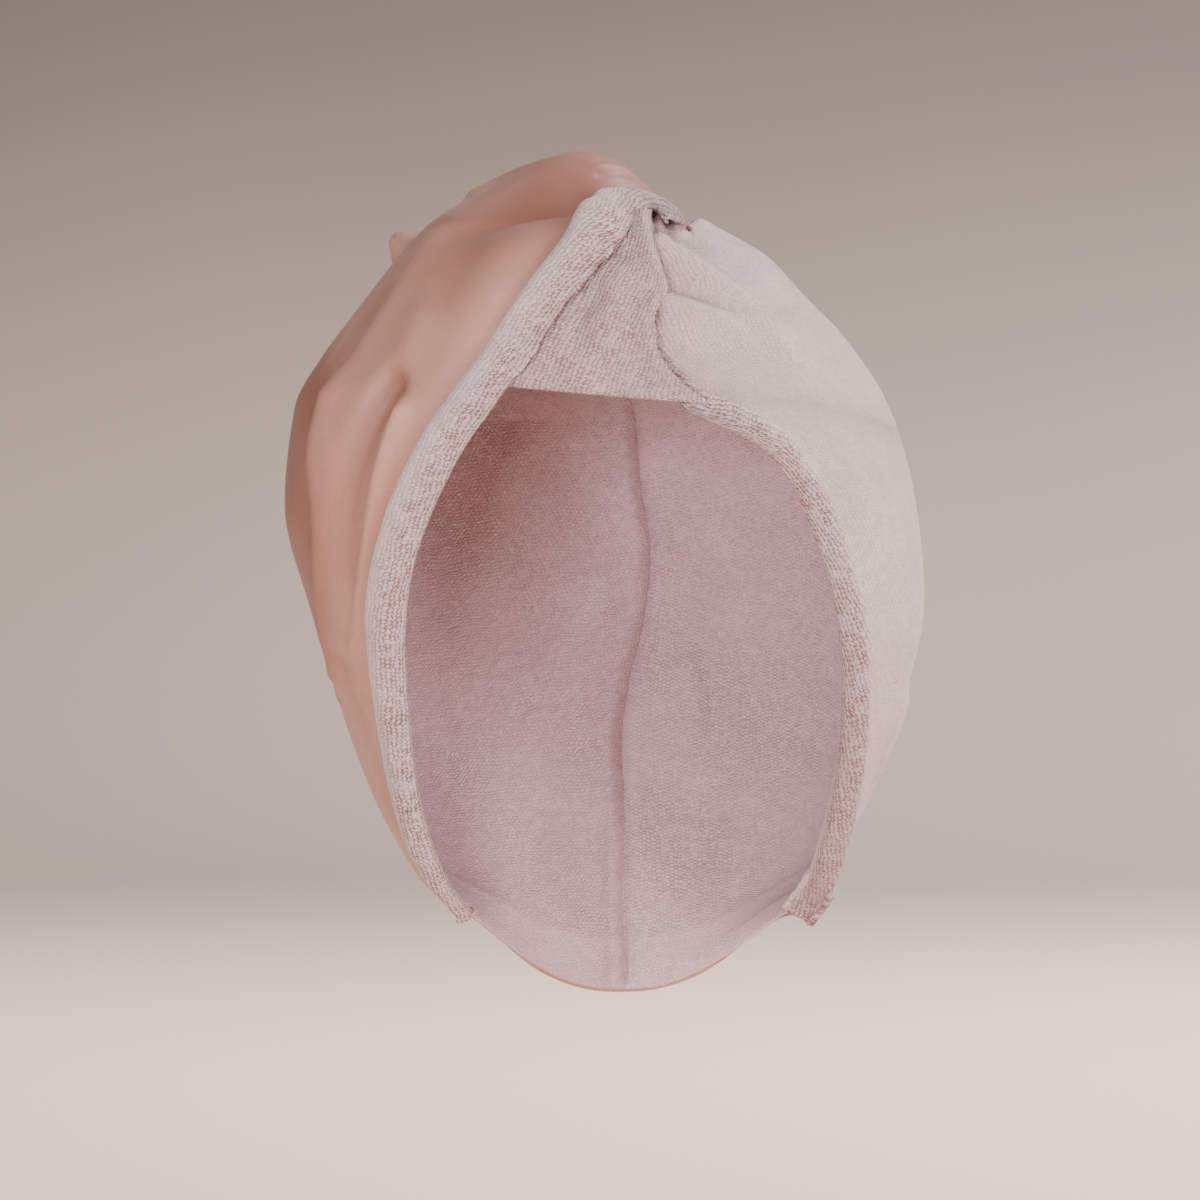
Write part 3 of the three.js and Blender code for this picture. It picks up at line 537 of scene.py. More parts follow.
class WrapForm:
    """The wrap's form in millimetres, worked out from the sizes of the panel."""

    def __init__(self, sizes):
        self.width = sizes.wrap_width / MM
        self.height = sizes.wrap_height / MM
        self.depth = sizes.wrap_depth / MM
        self.terry = sizes.terry_wall / MM
        self.satin = sizes.satin_wall / MM
        self.gap = sizes.layer_gap / MM
        self.turned_edge = sizes.turned_edge / MM
        self.panel_roll = sizes.panel_roll / MM
        self.tail_radius = sizes.tail_radius / MM
        self.tail_end = sizes.tail_end / MM
        self.button = sizes.button / MM
        self.lining_in = -2 * self.gap - self.terry
        self.layer = self.terry + self.gap
        self.over_satin = self.satin + self.gap + self.terry / 2
        self.under_satin = self.gap + self.terry / 2
        self.under_both = self.under_satin - self.lining_in
        self.roll_puff = 0.3 * self.turned_edge
        self.column = {name: curve_through(SECTIONS, "height", name) for name in Section._fields[1:]}
        self.left_across = curve_through(LEFT_EDGE[:RISING_ROWS], "height", "across")
        self.right_across = curve_through(RIGHT_EDGE, "height", "across")
        self.edge_top = LEFT_EDGE[RISING_ROWS - 1].height
        self.seam_offset = curve_through(LINING_SEAM, "height", "offset")

    def level(self, height):
        """A share of the height as a level in millimetres over the mount."""
        return (height - CROWN) * self.height

    def share(self, level):
        """A level in millimetres as a share of the height."""
        return level / self.height + CROWN

    def section(self, height):
        """The middle of a level section and how far it reaches to each of its four sides."""
        lean = self.column["lean"](height) * self.width
        middle = self.column["middle"](height) * self.depth
        left = lean - self.column["left"](height) * self.width
        right = self.column["right"](height) * self.width - lean
        front = middle - self.column["front"](height) * self.depth
        back = self.column["back"](height) * self.depth - middle
        return lean, middle, left, right, front, back

    def wrap(self, turn, height):
        """Points of the wrap: turn in radians from the front, height as a share."""
        turn, height = np.broadcast_arrays(np.asarray(turn, float), np.asarray(height, float))
        lean, middle, left, right, front, back = self.section(height)
        across = np.sin(turn)
        ahead = np.cos(turn)
        side = np.where(across < 0, left, right)
        depth = np.where(ahead > 0, front, back)
        total = (np.abs(across) / side) ** SQUARENESS + (np.abs(ahead) / depth) ** SQUARENESS
        reach = total ** (-1 / SQUARENESS)
        return np.stack([lean + reach * across, middle - reach * ahead, self.level(height)], axis=-1)

    def hood(self, turn, height):
        """Points of the hood's inside: the wrap up to the brow, and a dome over the crown of the head."""
        turn, height = np.broadcast_arrays(np.asarray(turn, float), np.asarray(height, float))
        share = np.clip((height - BROW) / (CROWN - BROW), 0.0, 0.9995)
        shrink = np.sqrt(1 - share * share) * (1 - 0.13 * np.sin(np.pi * share))
        brow = self.wrap(turn, np.full_like(height, BROW))
        lean, middle = self.section(BROW)[:2]
        across = lean + (brow[..., 0] - lean) * shrink
        ahead = middle + (brow[..., 1] - middle) * shrink
        dome = np.stack([across, ahead, self.level(height)], axis=-1)
        return np.where((height <= BROW)[..., None], self.wrap(turn, height), dome)

    def directions(self, surface, turn, height):
        """The ways round a surface, up it, and straight out of it."""
        round_way = (surface(turn + 0.01, height) - surface(turn - 0.01, height)) / 0.02
        low = np.maximum(height - 0.004, 0.0)
        high = height + 0.004
        up_way = (surface(turn, high) - surface(turn, low)) / (high - low)[..., None]
        return round_way, up_way, unit(np.cross(round_way, up_way))

    def layer_point(self, surface, turn, height, out):
        """Points at a distance out of a surface."""
        turn, height = np.broadcast_arrays(np.asarray(turn, float), np.asarray(height, float))
        return surface(turn, height) + self.directions(surface, turn, height)[2] * np.asarray(out)[..., None]

    def turn_for(self, across, height):
        """The turn at which the front of a section reaches a place across, told as a share of the width."""
        lean, _, left, right, front, _ = self.section(height)
        offset = across * self.width - lean
        side = np.where(offset < 0, left, right)
        share = np.minimum(np.abs(offset) / side, 0.995)
        depth = front * (1 - share**SQUARENESS) ** (1 / SQUARENESS)
        return np.arctan2(np.sign(offset) * share * side, depth)

    def left_turn(self, height):
        """The turn of the left front edge at a height."""
        return self.turn_for(self.left_across(height), height)

    def right_turn(self, height):
        """The turn of the right front edge at a height."""
        return self.turn_for(self.right_across(height), height)

    def hem(self, turn):
        """The nape edge dips from the corners of the face opening to the middle of the back."""
        middle_height = CORNER / 2
        lean, _, left, right, _, _ = self.section(middle_height)
        spot = self.wrap(turn, np.full_like(turn, middle_height))[..., 0]
        side = np.where(spot < lean, left, right)
        dip = CORNER * np.minimum(1.0, np.abs(spot - lean) / side) ** 2.7
        return np.where(np.cos(turn) > 0, CORNER, dip)

    def front_line(self, places):
        """The places of a fold, seen from the front, as points on the front of the wrap."""
        levels = self.share(np.array([place[1] for place in places], float))
        across = np.array([place[0] for place in places], float) / self.width
        turns = self.turn_for(across, levels)
        return self.wrap(turns, levels)

    def placed_line(self, places):
        """Places (turn in degrees, height) as points on the wrap."""
        turns = np.radians([float(place[0]) for place in places])
        return self.wrap(turns, np.array([place[1] for place in places]))

    def back_line(self, places, surface):
        """The places of a fold, seen through the face opening, as points on the inside of the back."""
        line = []
        for across, level in places:
            height = self.share(level)
            turns = np.linspace(0.55 * np.pi, 1.45 * np.pi, 721)
            spots = surface(turns, np.full_like(turns, height))
            line.append(spots[np.argmin(np.abs(spots[:, 0] - across))])
        return np.array(line)

    def step_from(self, turn, height, along, distance):
        """A step square to an edge, told as the turn and height that it leads to."""
        round_way, up_way, out = self.directions(self.wrap, turn, height)
        side = unit(np.cross(out, along)) * distance[..., None]
        round_square = np.sum(round_way * round_way, axis=-1)
        up_square = np.sum(up_way * up_way, axis=-1)
        slant = np.sum(round_way * up_way, axis=-1)
        side_round = np.sum(side * round_way, axis=-1)
        side_up = np.sum(side * up_way, axis=-1)
        area = round_square * up_square - slant * slant
        turn_step = (side_round * up_square - side_up * slant) / area
        height_step = (side_up * round_square - side_round * slant) / area
        return turn + turn_step, height + height_step

    def over_wrap(self, height):
        """How far the left edge lies over the forehead wrap at a height, from 0 to 1."""
        return ease(0.54, BROW, height)

    def flap_lift(self, height):
        """How far the left flap is lifted by the layers that cross under it."""
        at_twist = ease(0.76, 0.83, height)
        past = 1 - ease(0.868, 0.922, height)
        return (2.5 * self.layer * self.over_wrap(height) + 1.2 * self.layer * at_twist) * past

    def wrap_lift(self, across, height):
        """Where the forehead wrap lies over the wide panel's edge, from 0 to 1."""
        edge = self.right_across(np.minimum(height, CROWN))
        return ease(edge - 0.12, edge - 0.07, across)


def relief(points, folds, line_of):
    """How far a table of folds lifts the cloth at each point."""
    total = np.zeros(points.shape[:-1])
    for fold in folds:
        gap, share = along_polyline(points, line_of(fold.places))
        far = gap / between(fold.width[0], fold.width[1], share)
        crest = np.exp(0.35 - np.sqrt(far**2 + 0.1225)) ** 1.6 if fold.sharp else np.exp(-(far**2))
        total += between(fold.rise[0], fold.rise[1], share) * crest
    return total


def grid_lengths(points):
    """Distances along the rows and along the columns of a grid."""
    steps_across = np.linalg.norm(np.diff(points, axis=1), axis=-1)
    steps_up = np.linalg.norm(np.diff(points, axis=0), axis=-1)
    across = np.concatenate([np.zeros((points.shape[0], 1)), np.cumsum(steps_across, axis=1)], axis=1)
    up = np.concatenate([np.zeros((1, points.shape[1])), np.cumsum(steps_up, axis=0)], axis=0)
    return across, up


def mesh_of(name, bm):
    """Turns a finished bmesh into a mesh."""
    mesh = bpy.data.meshes.new(name)
    bm.to_mesh(mesh)
    bm.free()
    return mesh


def grid_mesh(name, points, cloth_places, marks, inside_out=False):
    """A mesh from a grid of points, with the row and the column that each of its vertices comes from.

    cloth_places are the points' places on the flat cloth, kept as UVs. marks are values kept at each point.
    """
    rows, columns = points.shape[:2]
    bm = bmesh.new()
    bm.loops.layers.uv.new("cloth")
    bmesh.ops.create_grid(bm, x_segments=columns - 1, y_segments=rows - 1, size=0.5, calc_uvs=True)
    places = np.array([vertex.co[:2] for vertex in bm.verts])
    column_of = np.rint((places[:, 0] + 0.5) * (columns - 1)).astype(int)
    row_of = np.rint((places[:, 1] + 0.5) * (rows - 1)).astype(int)
    if inside_out:
        bmesh.ops.reverse_faces(bm, faces=bm.faces[:])
    mesh = mesh_of(name, bm)
    mesh.vertices.foreach_set("co", (points[row_of, column_of] * MM).ravel())
    corners = np.empty(len(mesh.loops), dtype=np.int32)
    mesh.loops.foreach_get("vertex_index", corners)
    uv = cloth_places[row_of, column_of] * MM
    mesh.uv_layers["cloth"].data.foreach_set("uv", uv[corners].ravel())
    for mark, values in marks.items():
        layer = mesh.attributes.new(mark, "FLOAT", "POINT")
        layer.data.foreach_set("value", np.broadcast_to(values, (rows, columns))[row_of, column_of].ravel())
    return mesh, row_of, column_of


def add_piece(name, mesh):
    """Adds a smooth-shaded object to the scene."""
    mesh.polygons.foreach_set("use_smooth", np.ones(len(mesh.polygons), dtype=bool))
    mesh.update()
    piece = bpy.data.objects.new(name, mesh)
    bpy.context.collection.objects.link(piece)
    return piece


def lay_cloth(name, points, wall, facing, marks, zero_column=0, lie=0.0, rims=ALL_RIMS, share=1.0):
    """A piece of cloth from a grid of points on its shown face, with its wall behind it and its rims round.

    facing is (row, column, way): at that place the shown face looks that way. marks holds values kept at each
    point. The flat cloth is measured from zero_column, and its weave lies at the angle lie to the rows. rims
    names the free edges: bottom and top, and start and end, which are the first and the last column. share is
    how much of its wall the cloth has at each point.
    """
    rows, columns = points.shape[:2]
    row_way, column_way = np.gradient(points, axis=0), np.gradient(points, axis=1)
    normals = unit(np.cross(column_way, row_way))
    row, column, way = facing
    inside_out = float(np.dot(normals[row, column], way)) < 0
    if inside_out:
        normals = -normals
    across, up = grid_lengths(points)
    rim_gap = np.full((rows, columns), 1e9)
    gaps = {"bottom": up, "top": up[-1:] - up, "start": across, "end": across[:, -1:] - across}
    for rim in rims:
        rim_gap = np.minimum(rim_gap, gaps[rim])
    fullness = np.sqrt(1 - (1 - np.clip(rim_gap / (0.55 * wall), 0.0, 1.0)) ** 2)
    points = points - normals * (0.5 * wall * (1 - fullness))[..., None]
    fullness = fullness * share

    cloth_u = across - across[:, zero_column][:, None]
    turned_u = cloth_u * math.cos(lie) - up * math.sin(lie)
    turned_v = cloth_u * math.sin(lie) + up * math.cos(lie)
    cloth_places = np.stack([turned_u, turned_v], axis=-1)
    mesh, row_of, column_of = grid_mesh(name, points, cloth_places, marks, inside_out)
    piece = add_piece(name, mesh)
    thickness = piece.vertex_groups.new(name="fullness")
    full = fullness[row_of, column_of]
    thickness.add(np.flatnonzero(full > 0.999).tolist(), 1.0, "REPLACE")
    for index in np.flatnonzero(full <= 0.999):
        thickness.add([int(index)], float(max(full[index], 0.02)), "REPLACE")
    solidify = piece.modifiers.new("wall", "SOLIDIFY")
    solidify.thickness = wall * MM
    solidify.offset = -1.0
    solidify.vertex_group = thickness.name
    solidify.use_rim = True
    return piece


def dress(piece, material, nodes):
    """Gives a piece its material and its place on the part."""
    piece.data.materials.append(material)
    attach(piece, ROOT)
    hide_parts(*nodes)
    return piece


def node_group(name, inputs, outputs):
    """An empty shader node group with its sockets: inputs and outputs are (name, kind, default) rows."""
    group = bpy.data.node_groups.new(name, "ShaderNodeTree")
    for direction, rows in (("INPUT", inputs), ("OUTPUT", outputs)):
        for row in rows:
            socket = group.interface.new_socket(row[0], in_out=direction, socket_type=row[1])
            if len(row) > 2:
                socket.default_value = row[2]
    entry = group.nodes.new("NodeGroupInput")
    leave = group.nodes.new("NodeGroupOutput")
    return group, entry, leave


class Wiring:
    """Short ways to add and join nodes in one node tree."""

    def __init__(self, tree):
        self.tree = tree

    def add(self, kind, **settings):
        """Adds a node with its settings."""
        node = self.tree.nodes.new(kind)
        for key, value in settings.items():
            setattr(node, key, value)
        return node

    def feed(self, socket, value):
        """Links an output to a socket, or sets the socket to a plain value."""
        if isinstance(value, bpy.types.NodeSocket):
            self.tree.links.new(value, socket)
        else:
            socket.default_value = value

    def math(self, operation, first, second=0.0, third=0.0):
        """A Math node's result."""
        node = self.add("ShaderNodeMath", operation=operation)
        for socket, value in zip(node.inputs, (first, second, third)):
            self.feed(socket, value)
        return node.outputs[0]

    def vector(self, operation, first, second=(0.0, 0.0, 0.0)):
        """A Vector Math node's result."""
        node = self.add("ShaderNodeVectorMath", operation=operation)
        self.feed(node.inputs[0], first)
        self.feed(node.inputs[1], second)
        return node.outputs[0]

    def ramp(self, value, low, high, to_low=0.0, to_high=1.0):
        """A value moved smoothly from one range to another."""
        node = self.add("ShaderNodeMapRange", interpolation_type="SMOOTHSTEP")
        for socket, given in zip(node.inputs, (value, low, high, to_low, to_high)):
            self.feed(socket, given)
        return node.outputs[0]

    def noise(self, place, scale, detail=2.0, roughness=0.5):
        """The outputs of a Noise Texture node."""
        node = self.add("ShaderNodeTexNoise", noise_dimensions="3D")
        self.feed(node.inputs["Vector"], place)
        self.feed(node.inputs["Scale"], scale)
        self.feed(node.inputs["Detail"], detail)
        self.feed(node.inputs["Roughness"], roughness)
        return node.outputs


def mix_colour(wiring, share, first, second):
    """Mixes two colours by a share."""
    node = wiring.add("ShaderNodeMix", data_type="RGBA")
    wiring.feed(node.inputs[MIX_FACTOR], share)
    wiring.feed(node.inputs[MIX_FIRST], first)
    wiring.feed(node.inputs[MIX_SECOND], second)
    return node.outputs[MIX_RESULT]


def terry_group():
    """Columns and rows of small loops, with pits between them and fibres over them. Place is in metres."""
    name = "terry_pile"
    if name in bpy.data.node_groups:
        return bpy.data.node_groups[name]
    group, entry, leave = node_group(
        name,
        [
            ("Place", "NodeSocketVector"),
            ("Row pitch", "NodeSocketFloat", 0.0015),
            ("Column pitch", "NodeSocketFloat", 0.0017),
            ("Row groove", "NodeSocketFloat", 0.4),
            ("Column groove", "NodeSocketFloat", 0.6),
            ("Openness", "NodeSocketFloat", 0.5),
            ("Fuzz", "NodeSocketFloat", 0.5),
        ],
        [("Height", "NodeSocketFloat"), ("Pits", "NodeSocketFloat"), ("Shade", "NodeSocketFloat")],
    )
    wires = Wiring(group)
    place = entry.outputs["Place"]
    slow = wires.vector("SUBTRACT", wires.noise(place, 120.0, 2.0)["Color"], (0.5, 0.5, 0.5))
    quick = wires.vector("SUBTRACT", wires.noise(place, 620.0, 2.0, 0.6)["Color"], (0.5, 0.5, 0.5))
    wander = wires.vector("MULTIPLY", slow, (0.0036, 0.0036, 0.0))
    jitter = wires.vector("MULTIPLY", quick, (0.0014, 0.0014, 0.0))
    parts = wires.add("ShaderNodeSeparateXYZ")
    wires.feed(parts.inputs[0], wires.vector("ADD", place, wires.vector("ADD", wander, jitter)))
    column = wires.math("DIVIDE", parts.outputs["X"], entry.outputs["Column pitch"])
    number = wires.math("FLOOR", wires.math("ADD", column, 0.5))
    rows_up = wires.math("DIVIDE", parts.outputs["Y"], entry.outputs["Row pitch"])
    row = wires.math("MULTIPLY_ADD", number, 0.5, rows_up)
    cell = wires.add("ShaderNodeCombineXYZ")
    wires.feed(cell.inputs["X"], number)
    wires.feed(cell.inputs["Y"], wires.math("FLOOR", wires.math("ADD", row, 0.5)))
    chance = wires.add("ShaderNodeTexWhiteNoise", noise_dimensions="2D")
    wires.feed(chance.inputs["Vector"], cell.outputs[0])
    column_wave = wires.math("COSINE", wires.math("MULTIPLY", column, 2 * math.pi))
    row_wave = wires.math("COSINE", wires.math("MULTIPLY", row, 2 * math.pi))
    column_dip = wires.math("MULTIPLY_ADD", column_wave, -0.5, 0.5)
    row_dip = wires.math("MULTIPLY_ADD", row_wave, -0.5, 0.5)
    dips = wires.math(
        "ADD",
        wires.math("MULTIPLY", column_dip, entry.outputs["Column groove"]),
        wires.math("MULTIPLY", row_dip, entry.outputs["Row groove"]),
    )
    uneven = wires.math("MULTIPLY_ADD", chance.outputs["Value"], 0.56, -0.28)
    groove = wires.math("ADD", dips, uneven)
    pits = wires.ramp(groove, 0.42, 0.95)
    openness = entry.outputs["Openness"]
    shown = wires.math("MULTIPLY_ADD", openness, 0.8, 0.2)
    fibres = wires.noise(place, 2100.0, 3.0, 0.62)["Fac"]
    tufts = wires.noise(place, 820.0, 3.0, 0.65)["Fac"]
    soft = wires.math("MULTIPLY", wires.math("ADD", fibres, wires.math("MULTIPLY", tufts, 2.2)), 0.5)
    fuzz = wires.math("MULTIPLY", soft, entry.outputs["Fuzz"])
    loops = wires.math("MULTIPLY", wires.math("SUBTRACT", 1.0, groove), shown)
    wires.feed(leave.inputs["Height"], wires.math("ADD", loops, fuzz))
    wires.feed(leave.inputs["Pits"], wires.math("MULTIPLY", pits, openness))
    patches = wires.noise(place, 46.0, 3.0, 0.6)["Fac"]
    grain = wires.math("MULTIPLY", wires.math("ADD", fibres, tufts), 0.35)
    shade = wires.math("ADD", grain, wires.math("MULTIPLY", patches, 0.3))
    wires.feed(leave.inputs["Shade"], wires.ramp(shade, 0.36, 0.62))
    return group


def satin_group():
    """The fine floats of satin: long threads one way, barely seen, and slow changes of sheen."""
    name = "satin_weave"
    if name in bpy.data.node_groups:
        return bpy.data.node_groups[name]
    group, entry, leave = node_group(
        name,
        [("Place", "NodeSocketVector"), ("Thread", "NodeSocketFloat", 0.00042)],
        [("Height", "NodeSocketFloat"), ("Shade", "NodeSocketFloat"), ("Slow", "NodeSocketFloat")],
    )
    wires = Wiring(group)
    place = entry.outputs["Place"]
    per_thread = wires.math("DIVIDE", 1.0, entry.outputs["Thread"])
    threads = wires.add("ShaderNodeVectorMath", operation="SCALE")
    wires.feed(threads.inputs[0], wires.vector("MULTIPLY", place, (1.0, 0.16, 1.0)))
    wires.feed(threads.inputs["Scale"], per_thread)
    floats = wires.noise(threads.outputs[0], 1.0, 2.0, 0.5)["Fac"]
    cross = wires.add("ShaderNodeVectorMath", operation="SCALE")
    wires.feed(cross.inputs[0], wires.vector("MULTIPLY", place, (0.2, 0.8, 1.0)))
    wires.feed(cross.inputs["Scale"], per_thread)
    steps = wires.noise(cross.outputs[0], 1.0, 1.0, 0.5)["Fac"]
    height = wires.math("ADD", wires.math("MULTIPLY", floats, 0.6), wires.math("MULTIPLY", steps, 0.4))
    wires.feed(leave.inputs["Height"], height)
    shade = wires.math("ADD", floats, wires.math("MULTIPLY", steps, 0.5))
    wires.feed(leave.inputs["Shade"], wires.ramp(shade, 0.55, 0.95))
    wires.feed(leave.inputs["Slow"], wires.ramp(wires.noise(place, 22.0, 3.0, 0.55)["Fac"], 0.3, 0.7))
    return group


def new_material(name):
    """A material with only a Principled shader, and its wiring."""
    material = bpy.data.materials.new(name)
    material.use_nodes = True
    wiring = Wiring(material.node_tree)
    shader = material.node_tree.nodes["Principled BSDF"]
    return material, wiring, shader


def cloth_place(wiring):
    """Places on the flat cloth, in metres."""
    return wiring.add("ShaderNodeUVMap", uv_map="cloth").outputs[0]


def mark_value(wiring, name):
    """A value that the cloth keeps at its points."""
    return wiring.add("ShaderNodeAttribute", attribute_name=name).outputs["Fac"]


def scaled_colour(colour, factor):
    """A colour made lighter or darker."""
    return (*(min(part * factor, 1.0) for part in colour), 1.0)


def shaded_colour(colour, shares):
    """A colour with a share kept of each of its parts."""
    return scaled_colour([part * share for part, share in zip(colour, shares)], 1.0)


def bump(wiring, shader, height, distance, strength):
    """Feeds a height to the shader's normal."""
    node = wiring.add("ShaderNodeBump")
    wiring.feed(node.inputs["Height"], height)
    wiring.feed(node.inputs["Distance"], distance)
    wiring.feed(node.inputs["Strength"], strength)
    wiring.feed(shader.inputs["Normal"], node.outputs[0])


def terry_material(name, pile, ground, weave):
    """Looped cotton: pale loops over a ground painted dark for the shade in the pits, with fuzz where the
    loops stand close.
    """
    if name in bpy.data.materials:
        return bpy.data.materials[name]
    material, wires, shader = new_material(name)
    loops = wires.add("ShaderNodeGroup", node_tree=terry_group())
    wires.feed(loops.inputs["Place"], cloth_place(wires))
    wires.feed(loops.inputs["Row pitch"], weave.row_pitch)
    wires.feed(loops.inputs["Column pitch"], weave.column_pitch)
    wires.feed(loops.inputs["Row groove"], weave.row_groove)
    wires.feed(loops.inputs["Column groove"], weave.column_groove)
    wires.feed(loops.inputs["Openness"], mark_value(wires, "openness"))
    wires.feed(loops.inputs["Fuzz"], weave.fuzz)
    lit = mix_colour(wires, loops.outputs["Shade"], scaled_colour(pile, 0.85), scaled_colour(pile, 1.06))
    # Painted shade: a mark kept at each point mixes the pile towards its shaded colour
    painted_shade_mix = mix_colour(wires, mark_value(wires, "tone"), lit, shaded_colour(pile, TERRY_SHADED))
    colour = mix_colour(wires, loops.outputs["Pits"], painted_shade_mix, (*ground, 1.0))
    wires.feed(shader.inputs["Base Color"], colour)
    shader.inputs["Roughness"].default_value = 0.95
    shader.inputs["Sheen Weight"].default_value = 0.18
    shader.inputs["Sheen Roughness"].default_value = 0.6
    shader.inputs["Specular IOR Level"].default_value = 0.15
    bump(wires, shader, loops.outputs["Height"], weave.depth, 0.9)
    return material


def satin_material(name, colour):
    """Smooth satin with a soft broad sheen."""
    if name in bpy.data.materials:
        return bpy.data.materials[name]
    material, wires, shader = new_material(name)
    weave = wires.add("ShaderNodeGroup", node_tree=satin_group())
    wires.feed(weave.inputs["Place"], cloth_place(wires))
    dim = scaled_colour(colour, 0.9)
    threads = mix_colour(wires, weave.outputs["Shade"], dim, scaled_colour(colour, 1.07))
    slow_share = wires.math("MULTIPLY", weave.outputs["Slow"], 0.5)
    slow = mix_colour(wires, slow_share, threads, shaded_colour(colour, SATIN_SLOW))
    # Painted shade: a mark kept at each point mixes the satin towards its shaded colour
    painted_shade_mix = mix_colour(wires, mark_value(wires, "tone"), slow, shaded_colour(colour, SATIN_SHADED))
    wires.feed(shader.inputs["Base Color"], painted_shade_mix)
    wires.feed(shader.inputs["Roughness"], wires.ramp(weave.outputs["Slow"], 0.0, 1.0, 0.44, 0.52))
    shader.inputs["Specular IOR Level"].default_value = 0.3
    shader.inputs["Sheen Weight"].default_value = 0.06
    shader.inputs["Sheen Roughness"].default_value = 0.4
    shader.inputs["Anisotropic"].default_value = 0.35
    bump(wires, shader, weave.outputs["Height"], 0.00009, 0.5)
    return material


def pale_terry(colours):
    """The terry of the turned edges, the forehead wrap and the tail."""
    return terry_material("pale terry", colours.pale_pile, colours.pale_ground, PALE_WEAVE)


def rose_terry(colours):
    """The terry of the lining."""
    return terry_material("rose terry", colours.rose_pile, colours.rose_ground, ROSE_WEAVE)


def wrap_satin(colours):
    """The satin of the outside and the tail."""
    return satin_material("wrap satin", colours.satin)


def outward(form, point):
    """Straight out from the wrap's axis at a point."""
    lean, middle = form.section(form.share(point[2]))[:2]
    return unit(np.array([point[0] - lean, point[1] - middle, 0.0]))


def climb(share, low, high):
    """Share up a panel to height, with rows closer together towards the ridge."""
    return high - (high - low) * (1 - share) ** 1.35


def lining_height(rows, low):
    """Heights of the lining's rows, from a low place to the brow and from there over the dome of the head."""
    over_brow = np.clip((rows - LINING_DOME) / (1 - LINING_DOME), 0, 1)
    straight = between(low, BROW, rows / LINING_DOME)
    dome = between(BROW, CROWN, np.sin(over_brow * math.radians(88)))
    return np.where(rows < LINING_DOME, straight, dome)


def lining_front(form, side, height):
    """The turn at which the lining starts: behind the turned edge, and drawn to the middle over the arch."""
    arch = BROW - 0.03
    arch_rise = 0.07
    at_middle = side * 0.004
    edge = form.left_turn if side < 0 else form.right_turn
    back_off = side * (0.045 + 0.1 * ease(0.47, 0.58, height))
    opening = np.sqrt(np.clip(1 - ((height - arch) / arch_rise) ** 2, 0, 1))
    rim = edge(np.minimum(height, arch)) + back_off
    front = np.where(height <= arch, rim, between(at_middle, rim, opening))
    return np.where(height > arch + arch_rise, at_middle, front)


def lining_half(form, side):
    """One half of the hood's inside, with its shown face to the head."""
    rows = spaced(262, 1.25, form.terry)[:, None]
    columns = spaced(150, 1.25, form.terry)[None, :]
    front_height = lining_height(rows, CORNER)
    front = lining_front(form, side, front_height)
    offset = form.seam_offset(front_height)
    back = form.section(np.minimum(front_height, BROW))[5]
    seam = side * np.pi - np.arctan2(offset, back)
    turn = between(front, seam, columns)
    height = lining_height(rows, form.hem(turn))
    base = form.hood(turn, height)
    folds = LINING_FOLDS_LEFT if side < 0 else LINING_FOLDS_RIGHT
    lift = relief(base, folds, lambda places: form.back_line(places, form.hood))
    # The cloth bulges beside the seam and dips at it, and it is doubled along the hem.
    seam_gap = np.linalg.norm(base - form.hood(seam, height), axis=-1)
    bulge = 2.4 if side < 0 else 1.1
    lift = lift * ease(0.0, 6.0, seam_gap) + bulge * np.exp(-(((seam_gap - 4.6) / 3.2) ** 2))
    lift = lift - 1.1 * np.exp(-((seam_gap / 1.2) ** 2))
    hem_gap = np.abs(form.level(height) - form.level(form.hem(turn)))
    lift = lift + 0.7 * (1 - ease(18.0, 22.0, hem_gap)) * ease(0.0, 2.0, seam_gap)
    lift = lift * (1 - ease(BROW - 0.02, BROW + 0.08, height)) + 0.35 * waves(base, 46.0, 5 + side)
    lift = lift * ease(0.0, 5.0, hem_gap)
    out = form.directions(form.hood, turn, height)[2]
    points = base + out * (form.lining_in - np.maximum(lift, -1.2))[..., None]
    hem_zone = 1 - ease(17.0, 22.0, hem_gap)
    openness = np.clip(0.55 + 0.25 * waves(base, 60.0, 11 + side) - 0.2 * hem_zone, 0.2, 1.0)
    # Painted shade: the lining is darker in its hollows and beside the seam and lighter along the hem, with
    # slow random tone; its left half is painted darker and its right half lighter, the more so low down
    painted_hollow_shade = 0.14 * np.clip(1.2 - lift, 0.0, 4.0) + 0.25 * np.exp(-((seam_gap / 5.0) ** 2))
    tone = 0.16 + painted_hollow_shade - 0.3 * hem_zone + 0.4 * waves(base, 90.0, 21 + side)
    lower = 1 - ease(0.2, 0.5, height)
    tone = np.clip(tone - side * (0.14 + 0.35 * lower), 0.0, 1.0)
    middle = (points.shape[0] // 3, int(points.shape[1] * 0.8))
    inward = -outward(form, points[middle])
    name = "terry_lining_left" if side < 0 else "terry_lining_right"
    lie = math.radians(-24) if side < 0 else math.radians(2)
    marks = {"openness": openness, "tone": tone}
    rims = ("bottom", "start")
    return lay_cloth("cloth_" + name, points, form.terry, (*middle, inward), marks, -1, lie, rims), name


